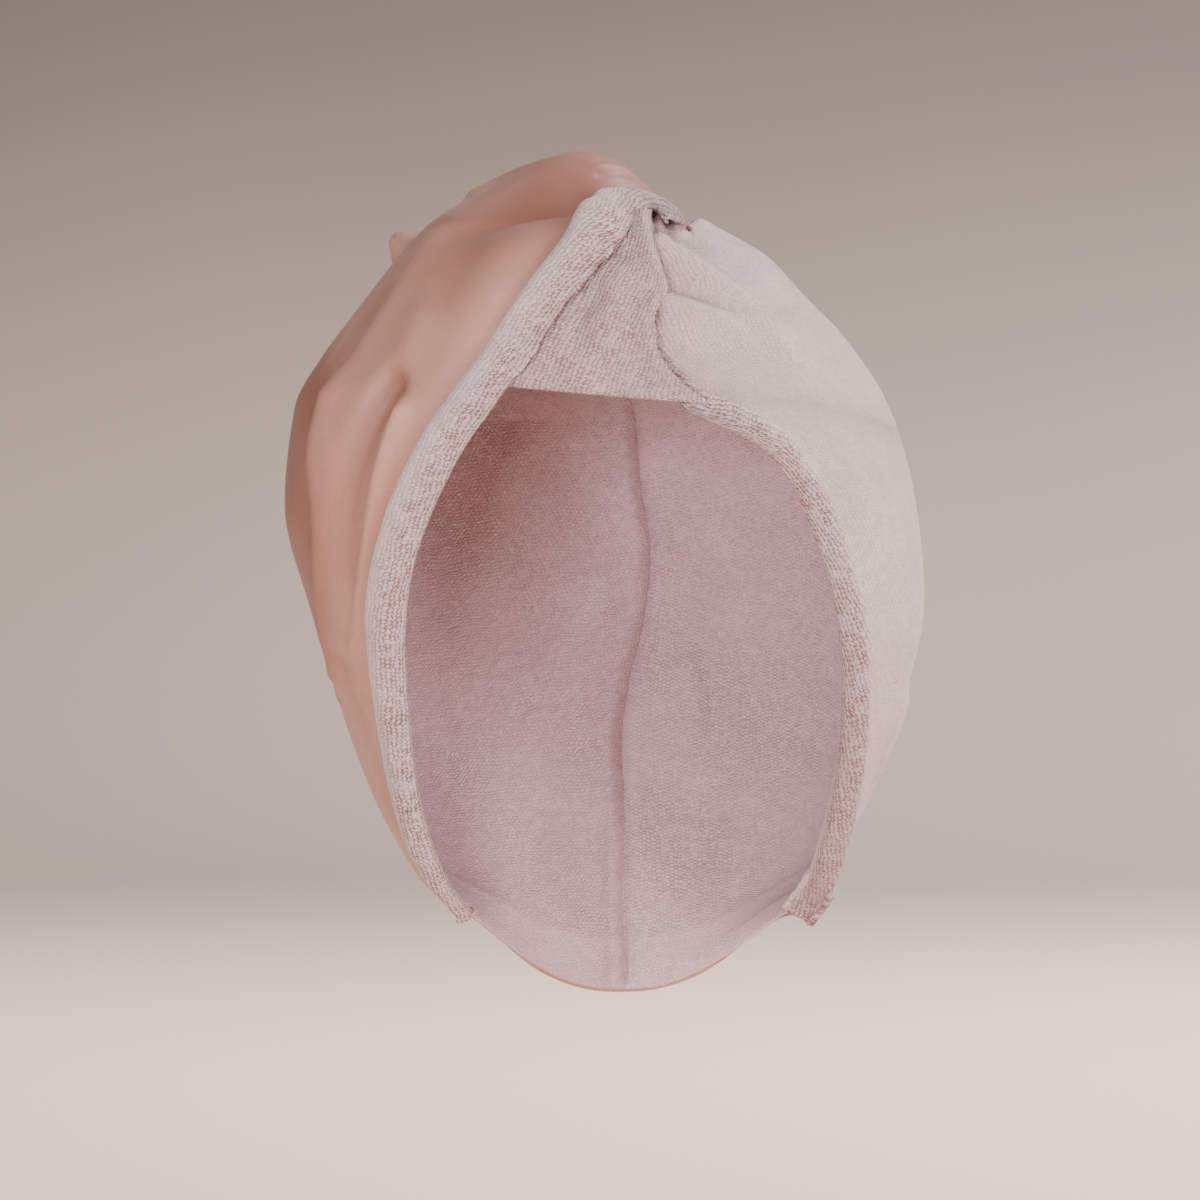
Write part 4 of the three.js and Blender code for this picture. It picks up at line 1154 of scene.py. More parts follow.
def satin_half(form, side):
    """One half of the satin outside."""
    rows = spaced(306, 1.9, 1.2)[:, None]
    columns = spaced(330 if side < 0 else 250, 1.9, 1.2)[None, :]
    seam_turn = np.pi - 0.03
    seam = seam_turn - 2 * np.pi + 0.0006 if side < 0 else seam_turn
    top = 0.9998
    front_height = climb(rows, CORNER, top)
    under_roll = 0.04 + 0.085 * ease(0.81, 0.88, front_height)
    past_cuff = ease(form.edge_top - 0.004, form.edge_top + 0.022, front_height)
    flap_turn = form.left_turn(np.minimum(front_height, form.edge_top)) - under_roll
    tucked = form.right_turn(np.minimum(front_height, CROWN))
    behind = tucked + 0.02 + 0.12 * ease(0.5, 0.62, front_height)
    meet = ease(CROWN - 0.03, CROWN + 0.01, front_height)
    over_flap = flap_turn + 1.25 * past_cuff
    front = over_flap if side < 0 else between(behind, flap_turn - 0.25, meet)
    turn = between(front, seam, columns)
    hem = form.hem(turn)
    height = climb(rows, hem + (0.014 * ease(0.02, 0.07, hem) - 0.002) * (1 - rows), top)
    base = form.wrap(turn, height)
    lift = np.zeros(turn.shape)
    if side < 0:
        lift = form.flap_lift(height) * (1 - ease(0.02, 0.3, columns))
        front_part = 1 - ease(math.radians(96), math.radians(112), np.abs(turn))
        lift = lift + relief(base, SATIN_FOLDS, form.front_line) * front_part
        lift = lift + tail_nub(form, base) + 0.8 * waves(base, 70.0, 3) + 0.2 * waves(base, 24.0, 6)
    else:
        below = ease(CROWN - 0.01, CROWN + 0.02, height) * (1 - ease(1.3, 1.7, turn))
        lift = lift + 0.8 * waves(base, 70.0, 4) * ease(2.0, 2.8, turn) - 2.2 * below
    lift = lift * (1 - ease(0.985, 0.9998, height))
    lift = lift + back_fullness(form, base)
    out = form.directions(form.wrap, turn, height)[2]
    points = base + out * (form.satin + np.maximum(lift, -2.4 if side > 0 else -0.3))[..., None]
    above = np.maximum(points[..., 2] - HUMP_START, 0.0)
    points[..., 2] += HUMP_HEIGHT * np.tanh(above / HUMP_HEIGHT) - above
    # Painted shade: the satin is darker in the knot's painted shadow, along its far left strip and in its
    # fold valleys, and a little lighter on its raised folds
    knot_gap = np.linalg.norm(points - np.array(KNOT_BEHIND), axis=-1)
    shaded = 1.1 * np.exp(-((knot_gap / 58.0) ** 2)) + 0.8 * ease(-90.0, -104.0, points[..., 0])
    valleys = relief(base, [fold for fold in SATIN_FOLDS if fold.rise[0] < 0], form.front_line)
    tone = np.clip(shaded - 0.1 * valleys - 0.04 * np.maximum(lift, 0.0), 0.0, 1.0)
    sample = (points.shape[0] // 3, points.shape[1] // 2)
    name = "satin_left_panel" if side < 0 else "satin_right_panel"
    facing = (*sample, outward(form, points[sample]))
    rims = ("bottom", "start", "end")
    piece = lay_cloth("cloth_" + name, points, form.satin, facing, {"tone": tone}, -1, math.radians(8), rims)
    return piece, name


def tail_nub(form, base):
    """The bulge where the tail starts to twist, seen over the left shoulder of the wrap."""
    gap, share = along_polyline(base, form.placed_line(NUB_PLACES))
    return between(8.5, 7.0, share) * np.exp(-((gap / 5.6) ** 3))


def back_fullness(form, base):
    """Folds of the satin that run from the twist down the back, either side of the tail."""
    total = np.zeros(base.shape[:-1])
    for fold in BACK_FOLDS:
        gap, _ = along_polyline(base, form.placed_line(fold.places))
        total += fold.rise * np.exp(-((gap / fold.width) ** 2))
    return total


def roll_profile(count):
    """The turned roll's rows as smooth columns: along, nose, side and puff."""
    path = smooth_path(np.array(TURNED_ROLL, float), 30)
    return path[np.rint(np.linspace(0, len(path) - 1, count)).astype(int)]


def roll_steps(form, profile, width, puff, over):
    """Steps from the edge and heights over the surface of the middle line of the roll's wall."""
    along, nose, side, fullness = profile.T
    under = between(form.under_both, form.under_satin, over)[:, None]
    tucked = 1 - ease(-1.0, -0.3, side)[None, :]
    reach = between(1.0, between(1.0, 0.55, over)[:, None], tucked)
    step = along[None, :] * width[:, None] * reach + nose[None, :] * form.terry
    shown = side[None, :] * form.over_satin + fullness[None, :] * puff[:, None]
    return step, np.where(side[None, :] < 0, side[None, :] * under, shown)


def outer_face(points, along, half):
    """Moves the middle line of a wall out to its shown face."""
    way = np.gradient(points, axis=1)
    side = unit(np.cross(way, along[:, None, :]))
    return points + side * half


def nose_share(columns, nose):
    """The wall is pressed thinner where the cloth turns sharply."""
    return 1 - 0.68 * np.exp(-(((np.arange(columns) - nose) / 8.0) ** 2))[None, :]


def left_edge_path(form):
    """Turn, height and share of the width at even steps along the narrow edge."""
    knots = [[form.turn_for(row.across, row.height), row.height, row.width] for row in LEFT_EDGE]
    path = smooth_path(knots, 40)
    spots = form.wrap(path[:, 0], path[:, 1])
    gaps = np.concatenate(([0.0], np.cumsum(np.linalg.norm(np.diff(spots, axis=0), axis=1))))
    wanted = np.linspace(0.0, gaps[-1], EDGE_STATIONS)
    return [np.interp(wanted, gaps, column) for column in path.T]


def hooked_end(form, points, turn, height, along, step, out):
    """Leads the narrow edge's end round the knot and away, free of the surface under it."""
    spots = form.wrap(turn, height)
    share = np.linspace(0.0, 1.0, EDGE_STATIONS)
    hook = ease(0.87, 0.935, share)[:, None]
    normal = form.directions(form.wrap, turn, height)[2]
    normal = unit(between(normal, np.array(HOOK_FACING), hook))
    beside = unit(np.cross(normal, along))
    tilt = math.radians(HOOK_TILT) * ease(0.915, 0.99, share)[:, None]
    tilted_side = beside * np.cos(tilt) - normal * np.sin(tilt)
    tilted_normal = normal * np.cos(tilt) + beside * np.sin(tilt)
    start = spots + normal * (form.flap_lift(height) + HOOK_RISE * ease(0.9, 0.97, share))[:, None]
    sideways = tilted_side[:, None, :] * step[..., None]
    free = start[:, None, :] + sideways + tilted_normal[:, None, :] * out[..., None]
    return between(points, free, hook[..., None])


def left_edge(form):
    """The narrow edge turned over the satin, and its end that hooks round the knot."""
    turn, height, width = left_edge_path(form)
    spots = form.wrap(turn, height)
    along = unit(np.gradient(spots, axis=0))
    profile = roll_profile(74)
    over_wrap = form.over_wrap(height)
    step, out = roll_steps(form, profile, form.turned_edge * width, form.roll_puff * width, over_wrap)
    out = np.where(out < 0, out * between(0.7, 1.0, ease(CORNER, 0.24, height))[:, None], out)
    shape = step.shape
    turns = np.broadcast_to(turn[:, None], shape)
    heights = np.broadcast_to(height[:, None], shape)
    alongs = np.broadcast_to(along[:, None, :], (*shape, 3))
    place_turn, place_height = form.step_from(turns, heights, alongs, step)
    base = form.wrap(place_turn, place_height)
    lifts = np.stack([np.broadcast_to(form.flap_lift(height)[:, None], shape), form.flap_lift(place_height)])
    folds = relief(base, SATIN_FOLDS[:CUFF_FOLDS], form.front_line)
    over = lifts.max(axis=0) + np.maximum(folds, 0)
    side = profile[:, 2][None, :]
    lift = between(lifts.min(axis=0), over, ease(-0.6, 0.6, side))
    points = form.layer_point(form.wrap, place_turn, place_height, out + lift)
    points = hooked_end(form, points, turn, height, along, step, out)
    share = np.linspace(0.0, 1.0, EDGE_STATIONS)
    wall = between(0.7, 1.0, ease(0.0, 0.09, share))
    points = outer_face(relaxed(points, 6), along, form.terry / 2 * wall[:, None, None])
    points = relaxed(points, 5)
    points = between(points, relaxed(points, 25), ease(0.88, 0.94, share)[:, None, None])
    lumps = waves(points, 16.0, 31) * 0.25 + waves(points, 7.0, 32) * 0.12
    shown = ease(-0.4, 0.8, side)
    normal = unit(np.cross(np.gradient(points, axis=1), np.gradient(points, axis=0)))
    sample = (EDGE_STATIONS // 2, int(points.shape[1] * 0.75))
    sign = 1.0 if np.dot(normal[sample], outward(form, points[sample])) > 0 else -1.0
    points = points + normal * (sign * lumps * shown)[..., None]
    across_share = np.linspace(0.0, 1.0, points.shape[1])[None, :]
    open_rows = ease(0.1, 0.2, across_share) * (1 - ease(0.58, 0.78, across_share))
    ragged = 0.3 * waves(points, 12.0, 33) * ease(0.05, 0.4, open_rows)
    openness = np.clip(0.22 + 0.72 * open_rows + ragged, 0.2, 1.0)
    # Painted shade: the turned edge is a little darker along its open rows
    marks = {"openness": openness, "tone": 0.12 * open_rows}
    facing = (*sample, outward(form, points[sample]))
    nose = 29
    wall_share = nose_share(points.shape[1], nose) * wall[:, None]
    piece = lay_cloth("cloth_left_turned_edge", points, form.terry, facing, marks, share=wall_share)
    return piece, "left_turned_edge"


def right_panel(form):
    """The wide panel turned outward over the right side, gathered into the knot at its top."""
    corner_top = PANEL_CREST[1].height
    crest_height = curve_through(PANEL_CREST, "turn", "height")
    back_turn = math.radians(PANEL_END)
    up = spaced(240, 240 / (PANEL_STATIONS - 8), form.terry)
    height = between(CORNER + 0.004, corner_top, up)
    over = ease(BROW - 0.06, BROW - 0.01, height)

    def edge_at(level):
        place = np.minimum(level, RIGHT_EDGE[-1].height)
        return form.turn_for(form.right_across(place) - 0.03 * over, place)

    below = height - 0.006
    above = height + 0.006
    along = unit(form.wrap(edge_at(below), below) - form.wrap(edge_at(above), above))
    low = 1 - ease(CORNER, 0.22, height)
    width = form.panel_roll * (1 - 0.8 * low)
    profile = roll_profile(48)[:-9]
    step, out = roll_steps(form, profile, width, form.roll_puff * (1 - over), over)
    shape = step.shape
    edge = edge_at(height)
    edges = np.broadcast_to(edge[:, None], shape)
    heights = np.broadcast_to(height[:, None], shape)
    alongs = np.broadcast_to(along[:, None, :], (*shape, 3))
    roll_turn, roll_height = form.step_from(edges, heights, alongs, step)
    share = (np.arange(1, PANEL_REACH + 1) / PANEL_REACH)[None, :] ** 1.25
    last_turn, last_height, last_out = roll_turn[:, -1:], roll_height[:, -1:], out[:, -1:]
    far_turn = between(last_turn, back_turn, share)
    hem = form.hem(far_turn) + 0.008
    crest = crest_height(np.degrees(far_turn))
    spread = between(0.6, 0.08, ease(0.6, 1.0, up))[:, None]
    far_height = between(last_height, between(hem, crest, up[:, None]), ease(0.0, spread, share))
    far_out = between(last_out, form.over_satin + 3 * form.gap, ease(0.0, 0.3, share))
    turn = np.concatenate([roll_turn, far_turn], axis=1)
    level = np.concatenate([roll_height, far_height], axis=1)
    outs = np.concatenate([out, far_out], axis=1)
    base = form.wrap(turn, level)
    column = np.arange(turn.shape[1])[None, :]
    shown = ease(shape[1] * 0.5, shape[1] * 0.8, column)
    folds = relief(base, TERRY_FOLDS, form.front_line) + relief(base, PLEATS, form.front_line)
    back_part = ease(math.radians(96), math.radians(120), turn)
    folds = np.maximum(folds * (1 - back_part) + 0.45 * waves(base, 60.0, 41) + 0.5, -0.5)
    points = form.layer_point(form.wrap, turn, level, outs)
    points = relaxed(outer_face(relaxed(points, 4), along, form.terry / 2), 5)
    flat_part = ease(shape[1] * 0.9, shape[1] * 1.3, column) * ease(math.radians(36), math.radians(60), turn)
    points = between(points, relaxed(points, 40), (flat_part * (1 - back_part))[..., None])
    points = points + form.directions(form.wrap, turn, level)[2] * (folds * shown)[..., None]
    across, _ = grid_lengths(points)
    nose = int(shape[1] * 0.5)
    from_edge = across - across[:, nose : nose + 1]
    open_rows = ease(-6.0, 0.0, from_edge) * (1 - ease(6.0, 15.0, from_edge))
    ragged = 0.25 * waves(base, 14.0, 44)
    openness = np.clip(open_rows + ragged * ease(0.02, 0.3, open_rows), 0.3, 1.0)
    # Painted shade: the panel is darker along the open rows of its roll, on the low part of the roll, round
    # the knot and in its fold valleys
    painted_rim_shade = open_rows * (1 - ease(0.3, 0.5, level)) * 0.75
    knot_gap = np.linalg.norm(base - np.array(KNOT_BESIDE), axis=-1)
    painted_knot_shadow = 0.45 * np.exp(-((knot_gap / 34.0) ** 2))
    valleys = 0.16 * np.clip(1.6 - folds, 0.0, 3.0) * shown * (1 - back_part) * ease(0.66, 0.8, level)
    tone = np.clip(0.15 * open_rows + painted_rim_shade + painted_knot_shadow + valleys, 0.0, 1.0)
    marks = {"openness": openness, "tone": tone}
    sample = (points.shape[0] // 2, int(points.shape[1] * 0.6))
    facing = (*sample, outward(form, points[sample]))
    wall_share = nose_share(points.shape[1], nose) * between(0.45, 1.0, ease(0.0, 0.12, up))[:, None]
    name = "cloth_right_turned_panel"
    lie = math.radians(-14)
    piece = lay_cloth(name, points, form.terry, facing, marks, nose, lie, share=wall_share)
    return piece, "right_turned_panel"


def forehead_wrap(form):
    """The part of the wide panel that crosses the forehead under the left flap."""
    rows = spaced(70, 0.8, form.terry)[:, None]
    columns = spaced(62, 0.8, form.terry)[None, :]
    low = between(BROW + 0.014, BROW - 0.008, columns)
    height = between(low, CROWN + 0.012, rows)
    left = form.left_across(height + 0.01) - 0.035
    right = form.right_across(height) - 0.004
    across = between(left, right, columns)
    turn = form.turn_for(across, height)
    base = form.wrap(turn, height)
    over = form.wrap_lift(across, height)
    lift = over * form.layer + relief(base, FOREHEAD_FOLDS, form.front_line) * ease(0.0, 0.25, columns)
    edge_gap = (right - across) * form.width
    lift = lift + 2.2 * np.exp(-(((edge_gap - 3.5) / 3.0) ** 2)) * ease(0.0, 0.15, rows)
    low_gap = (height - low) * form.height
    tuck = form.terry * 1.4 * (1 - np.sqrt(1 - (1 - np.clip(low_gap / 3.6, 0, 1)) ** 2))
    out = form.satin + form.layer + np.maximum(lift, -0.4) - tuck
    points = form.layer_point(form.wrap, turn, height, out)
    points = relaxed(points, 2)
    sample = (points.shape[0] // 2, points.shape[1] // 2)
    facing = (*sample, outward(form, points[sample]))
    # The forehead wrap is mixed towards the pile's shaded colour all over, and more so towards its left side,
    # where painted shade falls under the flap
    shade = 1 - ease(0.0, 0.35, columns)
    openness = np.clip(0.75 + 0.2 * waves(base, 30.0, 51), 0.4, 1.0)
    marks = {"openness": openness, "tone": 0.55 + 0.35 * shade}
    lie = math.radians(-12)
    rims = ("bottom", "top", "end")
    piece = lay_cloth("cloth_forehead_wrap", points, form.terry, facing, marks, lie=lie, rims=rims)
    return piece, "forehead_wrap"


def tail_strand(form, side):
    """One of the two strands that are twisted into the tail."""
    route_turn = curve_through(TAIL_ROUTE, "height", "turn")
    route_radius = curve_through(TAIL_ROUTE, "height", "radius")
    share = np.linspace(0.0, 1.0, STRAND_STATIONS)
    height = between(TAIL_ROUTE[0].height, TAIL_ROUTE[-1].height, share**1.2)
    radius = between(form.tail_end, form.tail_radius, route_radius(height))
    turn = np.radians(route_turn(height))
    base = form.wrap(turn, height)
    full = back_fullness(form, base)
    out = form.satin + 2 * form.gap + radius * TAIL_FLATNESS + full
    centre = form.layer_point(form.wrap, turn, height, out)
    along = unit(np.gradient(centre, axis=0))
    level = unit(np.cross(np.array([1.0, 0.0, 0.0]), along))
    square = unit(np.cross(along, level))
    spin = TAIL_TWISTS * 2 * np.pi * share + (0.0 if side > 0 else np.pi)
    angle = np.linspace(0.0, 2 * np.pi, STRAND_CORNERS)[None, :]
    strand = radius / 2 - form.gap / 2
    creases = 0.1 * np.abs(np.sin(2.5 * angle + 6 * share[:, None]))
    flutes = 1 - creases - 0.05 * np.cos(7 * angle + 9 * share[:, None])
    caps = np.sqrt(1 - (1 - np.clip(np.minimum(share, 1 - share) / 0.02, 0, 1)) ** 2)
    reach = strand[:, None] * flutes * np.maximum(caps, 0.03)[:, None]
    outward_way = np.cos(spin)[:, None] * radius[:, None] / 2 + np.cos(angle + spin[:, None]) * reach
    sideways = np.sin(spin)[:, None] * radius[:, None] / 2 + np.sin(angle + spin[:, None]) * reach
    points = (
        centre[:, None, :]
        + level[:, None, :] * (outward_way * TAIL_FLATNESS)[..., None]
        + square[:, None, :] * (sideways / TAIL_FLATNESS)[..., None]
    )
    name = "tail_satin_strand" if side > 0 else "tail_terry_strand"
    return lay_tube("cloth_" + name, points), name


def lay_tube(name, points):
    """A closed strand from rings of points; the last point of each ring is the first one again."""
    cloth_places = np.stack(grid_lengths(points), axis=-1)
    # The strands are mixed a little towards the shaded colour all over
    mesh, _, _ = grid_mesh(name, points, cloth_places, {"openness": 0.45, "tone": 0.1})
    bm = bmesh.new()
    bm.from_mesh(mesh)
    bmesh.ops.remove_doubles(bm, verts=bm.verts[:], dist=1e-6)
    ends = [edge for edge in bm.edges if edge.is_boundary]
    bmesh.ops.holes_fill(bm, edges=ends, sides=0)
    bmesh.ops.recalc_face_normals(bm, faces=bm.faces[:])
    bm.to_mesh(mesh)
    bm.free()
    return add_piece(name, mesh)


def stand_out(form, bm):
    """Turns a mesh made round +Z so that it stands straight out of the back at the button's place."""
    turn = np.array([-np.pi])
    height = np.array([BUTTON])
    out = Vector(form.directions(form.wrap, turn, height)[2][0])
    spot = Vector(form.wrap(turn, height)[0] * MM)
    turned = out.to_track_quat("Z", "Y").to_matrix().to_4x4()
    bmesh.ops.transform(bm, matrix=turned, verts=bm.verts[:])
    bmesh.ops.translate(bm, vec=spot, verts=bm.verts[:])


def spun_piece(form, name, outline, closed=False):
    """A turned piece from the outline (reach, rise) in millimetres, spun round the button's axis."""
    bm = bmesh.new()
    corners = [bm.verts.new((reach * MM, 0.0, rise * MM)) for reach, rise in outline]
    edges = [bm.edges.new(pair) for pair in zip(corners, corners[1:])]
    if closed:
        edges.append(bm.edges.new((corners[-1], corners[0])))
    bmesh.ops.spin(
        bm,
        geom=corners + edges,
        cent=(0, 0, 0),
        axis=(0, 0, 1),
        angle=2 * math.pi,
        steps=96,
        use_merge=True,
    )
    bmesh.ops.remove_doubles(bm, verts=bm.verts[:], dist=1e-6)
    bmesh.ops.recalc_face_normals(bm, faces=bm.faces[:])
    stand_out(form, bm)
    return add_piece(name, mesh_of(name, bm))


def moulded_material(colour):
    """Satin-finished plastic with fine wear."""
    material, wires, shader = new_material("moulded button")
    place = wires.add("ShaderNodeTexCoord").outputs["Object"]
    cloud = wires.noise(place, 160.0, 4.0, 0.6)["Fac"]
    patches = wires.ramp(cloud, 0.3, 0.7)
    tint = mix_colour(wires, patches, scaled_colour(colour, 0.85), scaled_colour(colour, 1.15))
    wires.feed(shader.inputs["Base Color"], tint)
    wear = wires.noise(place, 900.0, 3.0)["Fac"]
    wires.feed(shader.inputs["Roughness"], wires.ramp(wear, 0.3, 0.7, 0.3, 0.42))
    bump(wires, shader, cloud, 0.00006, 0.4)
    return material


def elastic_material(colour):
    """Braided elastic: slanting threads round the cord."""
    material, wires, shader = new_material("braided elastic")
    place = wires.add("ShaderNodeTexCoord").outputs["Object"]
    braid = wires.add("ShaderNodeTexVoronoi", feature="F1")
    wires.feed(braid.inputs["Vector"], place)
    wires.feed(braid.inputs["Scale"], 1500.0)
    wires.feed(braid.inputs["Randomness"], 0.3)
    thread = wires.ramp(braid.outputs["Distance"], 0.1, 0.8)
    tint = mix_colour(wires, thread, scaled_colour(colour, 1.15), scaled_colour(colour, 0.6))
    wires.feed(shader.inputs["Base Color"], tint)
    shader.inputs["Roughness"].default_value = 0.8
    shader.inputs["Sheen Weight"].default_value = 0.2
    bump(wires, shader, wires.math("SUBTRACT", 1.0, thread), 0.0002, 0.8)
    return material


def arc(centre, radii, start, stop, count):
    """Places of an outline on an arc, with angles in degrees."""
    places = []
    for angle in np.radians(np.linspace(start, stop, count)):
        places.append((centre[0] + radii[0] * math.cos(angle), centre[1] + radii[1] * math.sin(angle)))
    return places


def sweep_place(run):
    """Where the paper of the sweep is, back and up, at a distance along it."""
    quarter = BEND_RADIUS * math.pi / 2
    if run <= BEND_START:
        return run, FLOOR_LEVEL
    if run <= BEND_START + quarter:
        angle = (run - BEND_START) / BEND_RADIUS
        return BEND_START + BEND_RADIUS * math.sin(angle), FLOOR_LEVEL + BEND_RADIUS * (1 - math.cos(angle))
    return BEND_START + BEND_RADIUS, FLOOR_LEVEL + BEND_RADIUS + (run - BEND_START - quarter)


def add_sweep(colours):
    """Adds the floor that bends up into the backdrop, pale in front and darker towards the top, which is
    painted shade.
    """
    bm = bmesh.new()
    bmesh.ops.create_grid(bm, x_segments=8, y_segments=120, size=1.0)
    for vertex in bm.verts:
        run = between(SWEEP_START, SWEEP_END, (vertex.co.y + 1.0) / 2.0)
        vertex.co.x *= SWEEP_HALF_WIDTH
        vertex.co.y, vertex.co.z = sweep_place(run)
    sweep = add_piece("studio_sweep", mesh_of("studio_sweep", bm))
    material, wires, shader = new_material("studio paper")
    place = wires.add("ShaderNodeTexCoord").outputs["Object"]
    parts = wires.add("ShaderNodeSeparateXYZ")
    wires.feed(parts.inputs[0], place)
    cloud = wires.math("MULTIPLY_ADD", wires.noise(place, 0.6, 2.0)["Fac"], 0.25, -0.125)
    rise = wires.math("ADD", parts.outputs["Z"], cloud)
    # Painted shade: the wall is darker the higher it rises
    upper = wires.ramp(rise, FLOOR_LEVEL + 0.02, 0.9)
    wall = mix_colour(wires, upper, (*colours.horizon, 1.0), (*colours.backdrop, 1.0))
    away = wires.ramp(parts.outputs["Y"], 1.2, 3.4)
    wires.feed(shader.inputs["Base Color"], mix_colour(wires, away, (*colours.floor, 1.0), wall))
    shader.inputs["Roughness"].default_value = 0.9
    sweep.data.materials.append(material)


def add_lamp(row):
    """Adds a round soft lamp that points at its target."""
    lamp = bpy.data.lights.new(row.name, "AREA")
    lamp.shape = "DISK"
    lamp.size = row.size
    lamp.energy = row.power
    holder = bpy.data.objects.new(row.name, lamp)
    holder.location = row.spot
    aim = Vector(row.target) - Vector(row.spot)
    holder.rotation_euler = aim.to_track_quat("-Z", "Y").to_euler()
    bpy.context.collection.objects.link(holder)


class TOWEL_OT_stage(bpy.types.Operator):
    """Adds the pale floor and backdrop, the soft lights and the camera."""

    bl_idname = "towel.stage"
    bl_label = "Stage"

    def execute(self, context):
        add_sweep(context.scene.towel_colours)
        for row in LAMPS:
            add_lamp(row)
        world = bpy.data.worlds.new("studio")
        world.use_nodes = True
        background = world.node_tree.nodes["Background"]
        background.inputs["Color"].default_value = SKY_COLOUR
        background.inputs["Strength"].default_value = SKY_STRENGTH
        context.scene.world = world

        lens = bpy.data.cameras.new("camera")
        lens.sensor_width = 36.0
        lens.lens = CAMERA_LENS
        camera = bpy.data.objects.new("camera", lens)
        camera.location = CAMERA_PLACE
        camera.rotation_euler = (math.radians(90), 0.0, 0.0)
        context.collection.objects.link(camera)
        context.scene.camera = camera
        return {"FINISHED"}


class TOWEL_OT_lining(bpy.types.Operator):
    """Lays the two halves of the terry lining."""

    bl_idname = "towel.lining"
    bl_label = "Lining"

    def execute(self, context):
        form = WrapForm(context.scene.towel_sizes)
        material = rose_terry(context.scene.towel_colours)
        for side in (-1, 1):
            piece, node = lining_half(form, side)
            dress(piece, material, [node])
        return {"FINISHED"}


class TOWEL_OT_satin(bpy.types.Operator):
    """Lays the two halves of the satin outside."""

    bl_idname = "towel.satin"
    bl_label = "Satin"

    def execute(self, context):
        form = WrapForm(context.scene.towel_sizes)
        material = wrap_satin(context.scene.towel_colours)
        for side, flat in ((-1, FLAT["satin_left"]), (1, FLAT["satin_right"])):
            piece, node = satin_half(form, side)
            dress(piece, material, [node])
        return {"FINISHED"}


class TOWEL_OT_left_edge(bpy.types.Operator):
    """Rolls the narrow terry edge over the left flap."""

    bl_idname = "towel.left_edge"
    bl_label = "Left turned edge"

    def execute(self, context):
        piece, node = left_edge(WrapForm(context.scene.towel_sizes))
        material = pale_terry(context.scene.towel_colours)
        dress(piece, material, [node])
        return {"FINISHED"}


class TOWEL_OT_right_panel(bpy.types.Operator):
    """Turns the wide terry panel outward over the right side."""

    bl_idname = "towel.right_panel"
    bl_label = "Right turned panel"

    def execute(self, context):
        piece, node = right_panel(WrapForm(context.scene.towel_sizes))
        material = pale_terry(context.scene.towel_colours)
        dress(piece, material, [node])
        return {"FINISHED"}


class TOWEL_OT_forehead(bpy.types.Operator):
    """Lays the wrap across the forehead."""

    bl_idname = "towel.forehead"
    bl_label = "Forehead wrap"

    def execute(self, context):
        piece, node = forehead_wrap(WrapForm(context.scene.towel_sizes))
        material = pale_terry(context.scene.towel_colours)
        dress(piece, material, [node])
        return {"FINISHED"}


class TOWEL_OT_tail(bpy.types.Operator):
    """Twists the tail of a satin and a terry strand."""

    bl_idname = "towel.tail"
    bl_label = "Tail"

    def execute(self, context):
        form = WrapForm(context.scene.towel_sizes)
        colours = context.scene.towel_colours
        rows = ((1, wrap_satin(colours), "satin"), (-1, pale_terry(colours), "pale_terry"))
        for side, material, slot in rows:
            piece, node = tail_strand(form, side)
            dress(piece, material, [node])
        return {"FINISHED"}


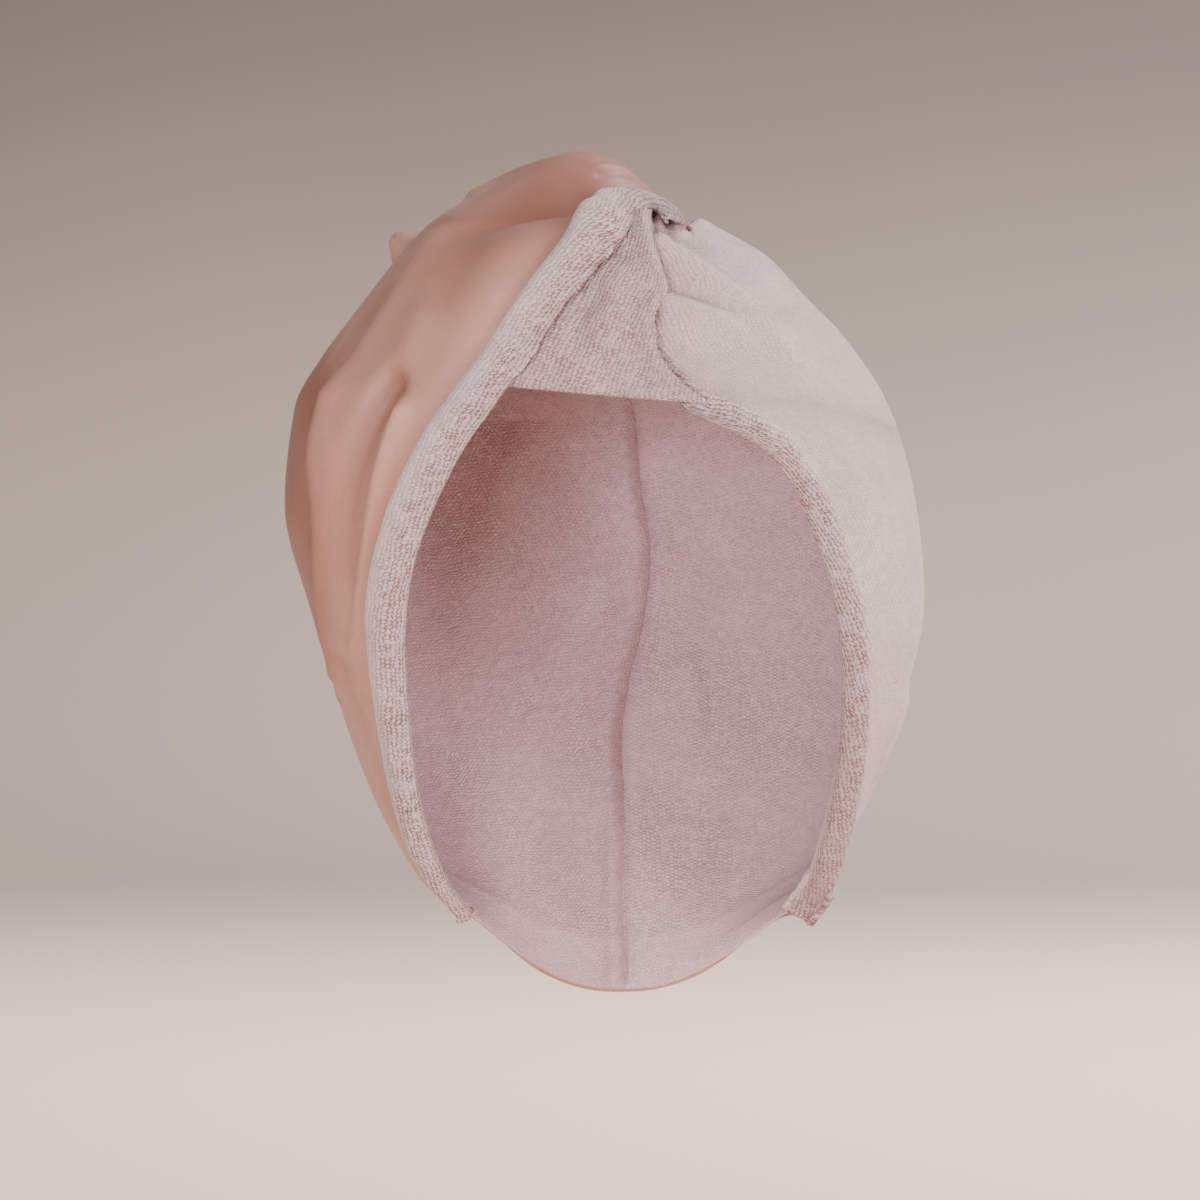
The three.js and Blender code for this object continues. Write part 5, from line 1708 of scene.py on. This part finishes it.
class TOWEL_OT_fastening(bpy.types.Operator):
    """Turns the button and the elastic loop that it holds."""

    bl_idname = "towel.fastening"
    bl_label = "Button and loop"

    def execute(self, context):
        form = WrapForm(context.scene.towel_sizes)
        colour = tuple(context.scene.towel_colours.trim)
        half = form.button / 2
        shank = form.button * 0.15
        fillet = 0.6
        foot = form.satin + form.gap
        rise = form.satin + 2 * LOOP_THICKNESS + form.gap
        face = rise + BUTTON_THICKNESS
        rim = BUTTON_THICKNESS / 2
        outline = [(0.0, foot), (shank, foot), (shank, rise - fillet), (shank + fillet, rise)]
        outline += arc((half - rim, rise + rim), (rim, rim), -90, 90, 17)
        outline += [(half * 0.68, face - 0.1), (half * 0.6, face - 0.8)]
        outline += [(half * 0.45, face - 1.1), (0.0, face - 1.2)]
        button = spun_piece(form, "moulded_nape_button", outline)
        dress(button, moulded_material(colour), ["nape_button"])
        near = shank + form.gap
        far = form.button * 0.44
        centre = ((near + far) / 2, form.satin + 2 * form.gap + LOOP_THICKNESS / 2)
        ring = arc(centre, ((far - near) / 2, LOOP_THICKNESS / 2), 0, 360, 25)[:-1]
        elastic = spun_piece(form, "braided_tail_loop", ring, closed=True)
        dress(elastic, elastic_material(colour), ["tail_loop"])
        return {"FINISHED"}


class TOWEL_PT_panel(bpy.types.Panel):
    """Lists the steps that make the towel."""

    bl_label = "Hair turban towel"
    bl_idname = "TOWEL_PT_panel"
    bl_space_type = "VIEW_3D"
    bl_region_type = "UI"
    bl_category = "Towel"

    def draw(self, context):
        for step in STEPS:
            self.layout.operator(step.bl_idname)
        for group in (context.scene.towel_sizes, context.scene.towel_colours):
            for name in group.bl_rna.properties.keys():
                if name not in {"rna_type", "name"}:
                    self.layout.prop(group, name)


STEPS = (
    TOWEL_OT_stage,
    TOWEL_OT_lining,
    TOWEL_OT_satin,
    TOWEL_OT_left_edge,
    TOWEL_OT_right_panel,
    TOWEL_OT_forehead,
    TOWEL_OT_tail,
    TOWEL_OT_fastening,
)
CLASSES = (TowelSizes, TowelColours, *STEPS, TOWEL_PT_panel)


def register():
    for each in CLASSES:
        bpy.utils.register_class(each)
    bpy.types.Scene.towel_sizes = bpy.props.PointerProperty(type=TowelSizes)
    bpy.types.Scene.towel_colours = bpy.props.PointerProperty(type=TowelColours)


def unregister():
    del bpy.types.Scene.towel_colours
    del bpy.types.Scene.towel_sizes
    for each in reversed(CLASSES):
        bpy.utils.unregister_class(each)


def main():
    register()
    bpy.ops.towel.stage()
    bpy.ops.towel.lining()
    bpy.ops.towel.satin()
    bpy.ops.towel.left_edge()
    bpy.ops.towel.right_panel()
    bpy.ops.towel.forehead()
    bpy.ops.towel.tail()
    bpy.ops.towel.fastening()


if __name__ == "__main__":
    main()
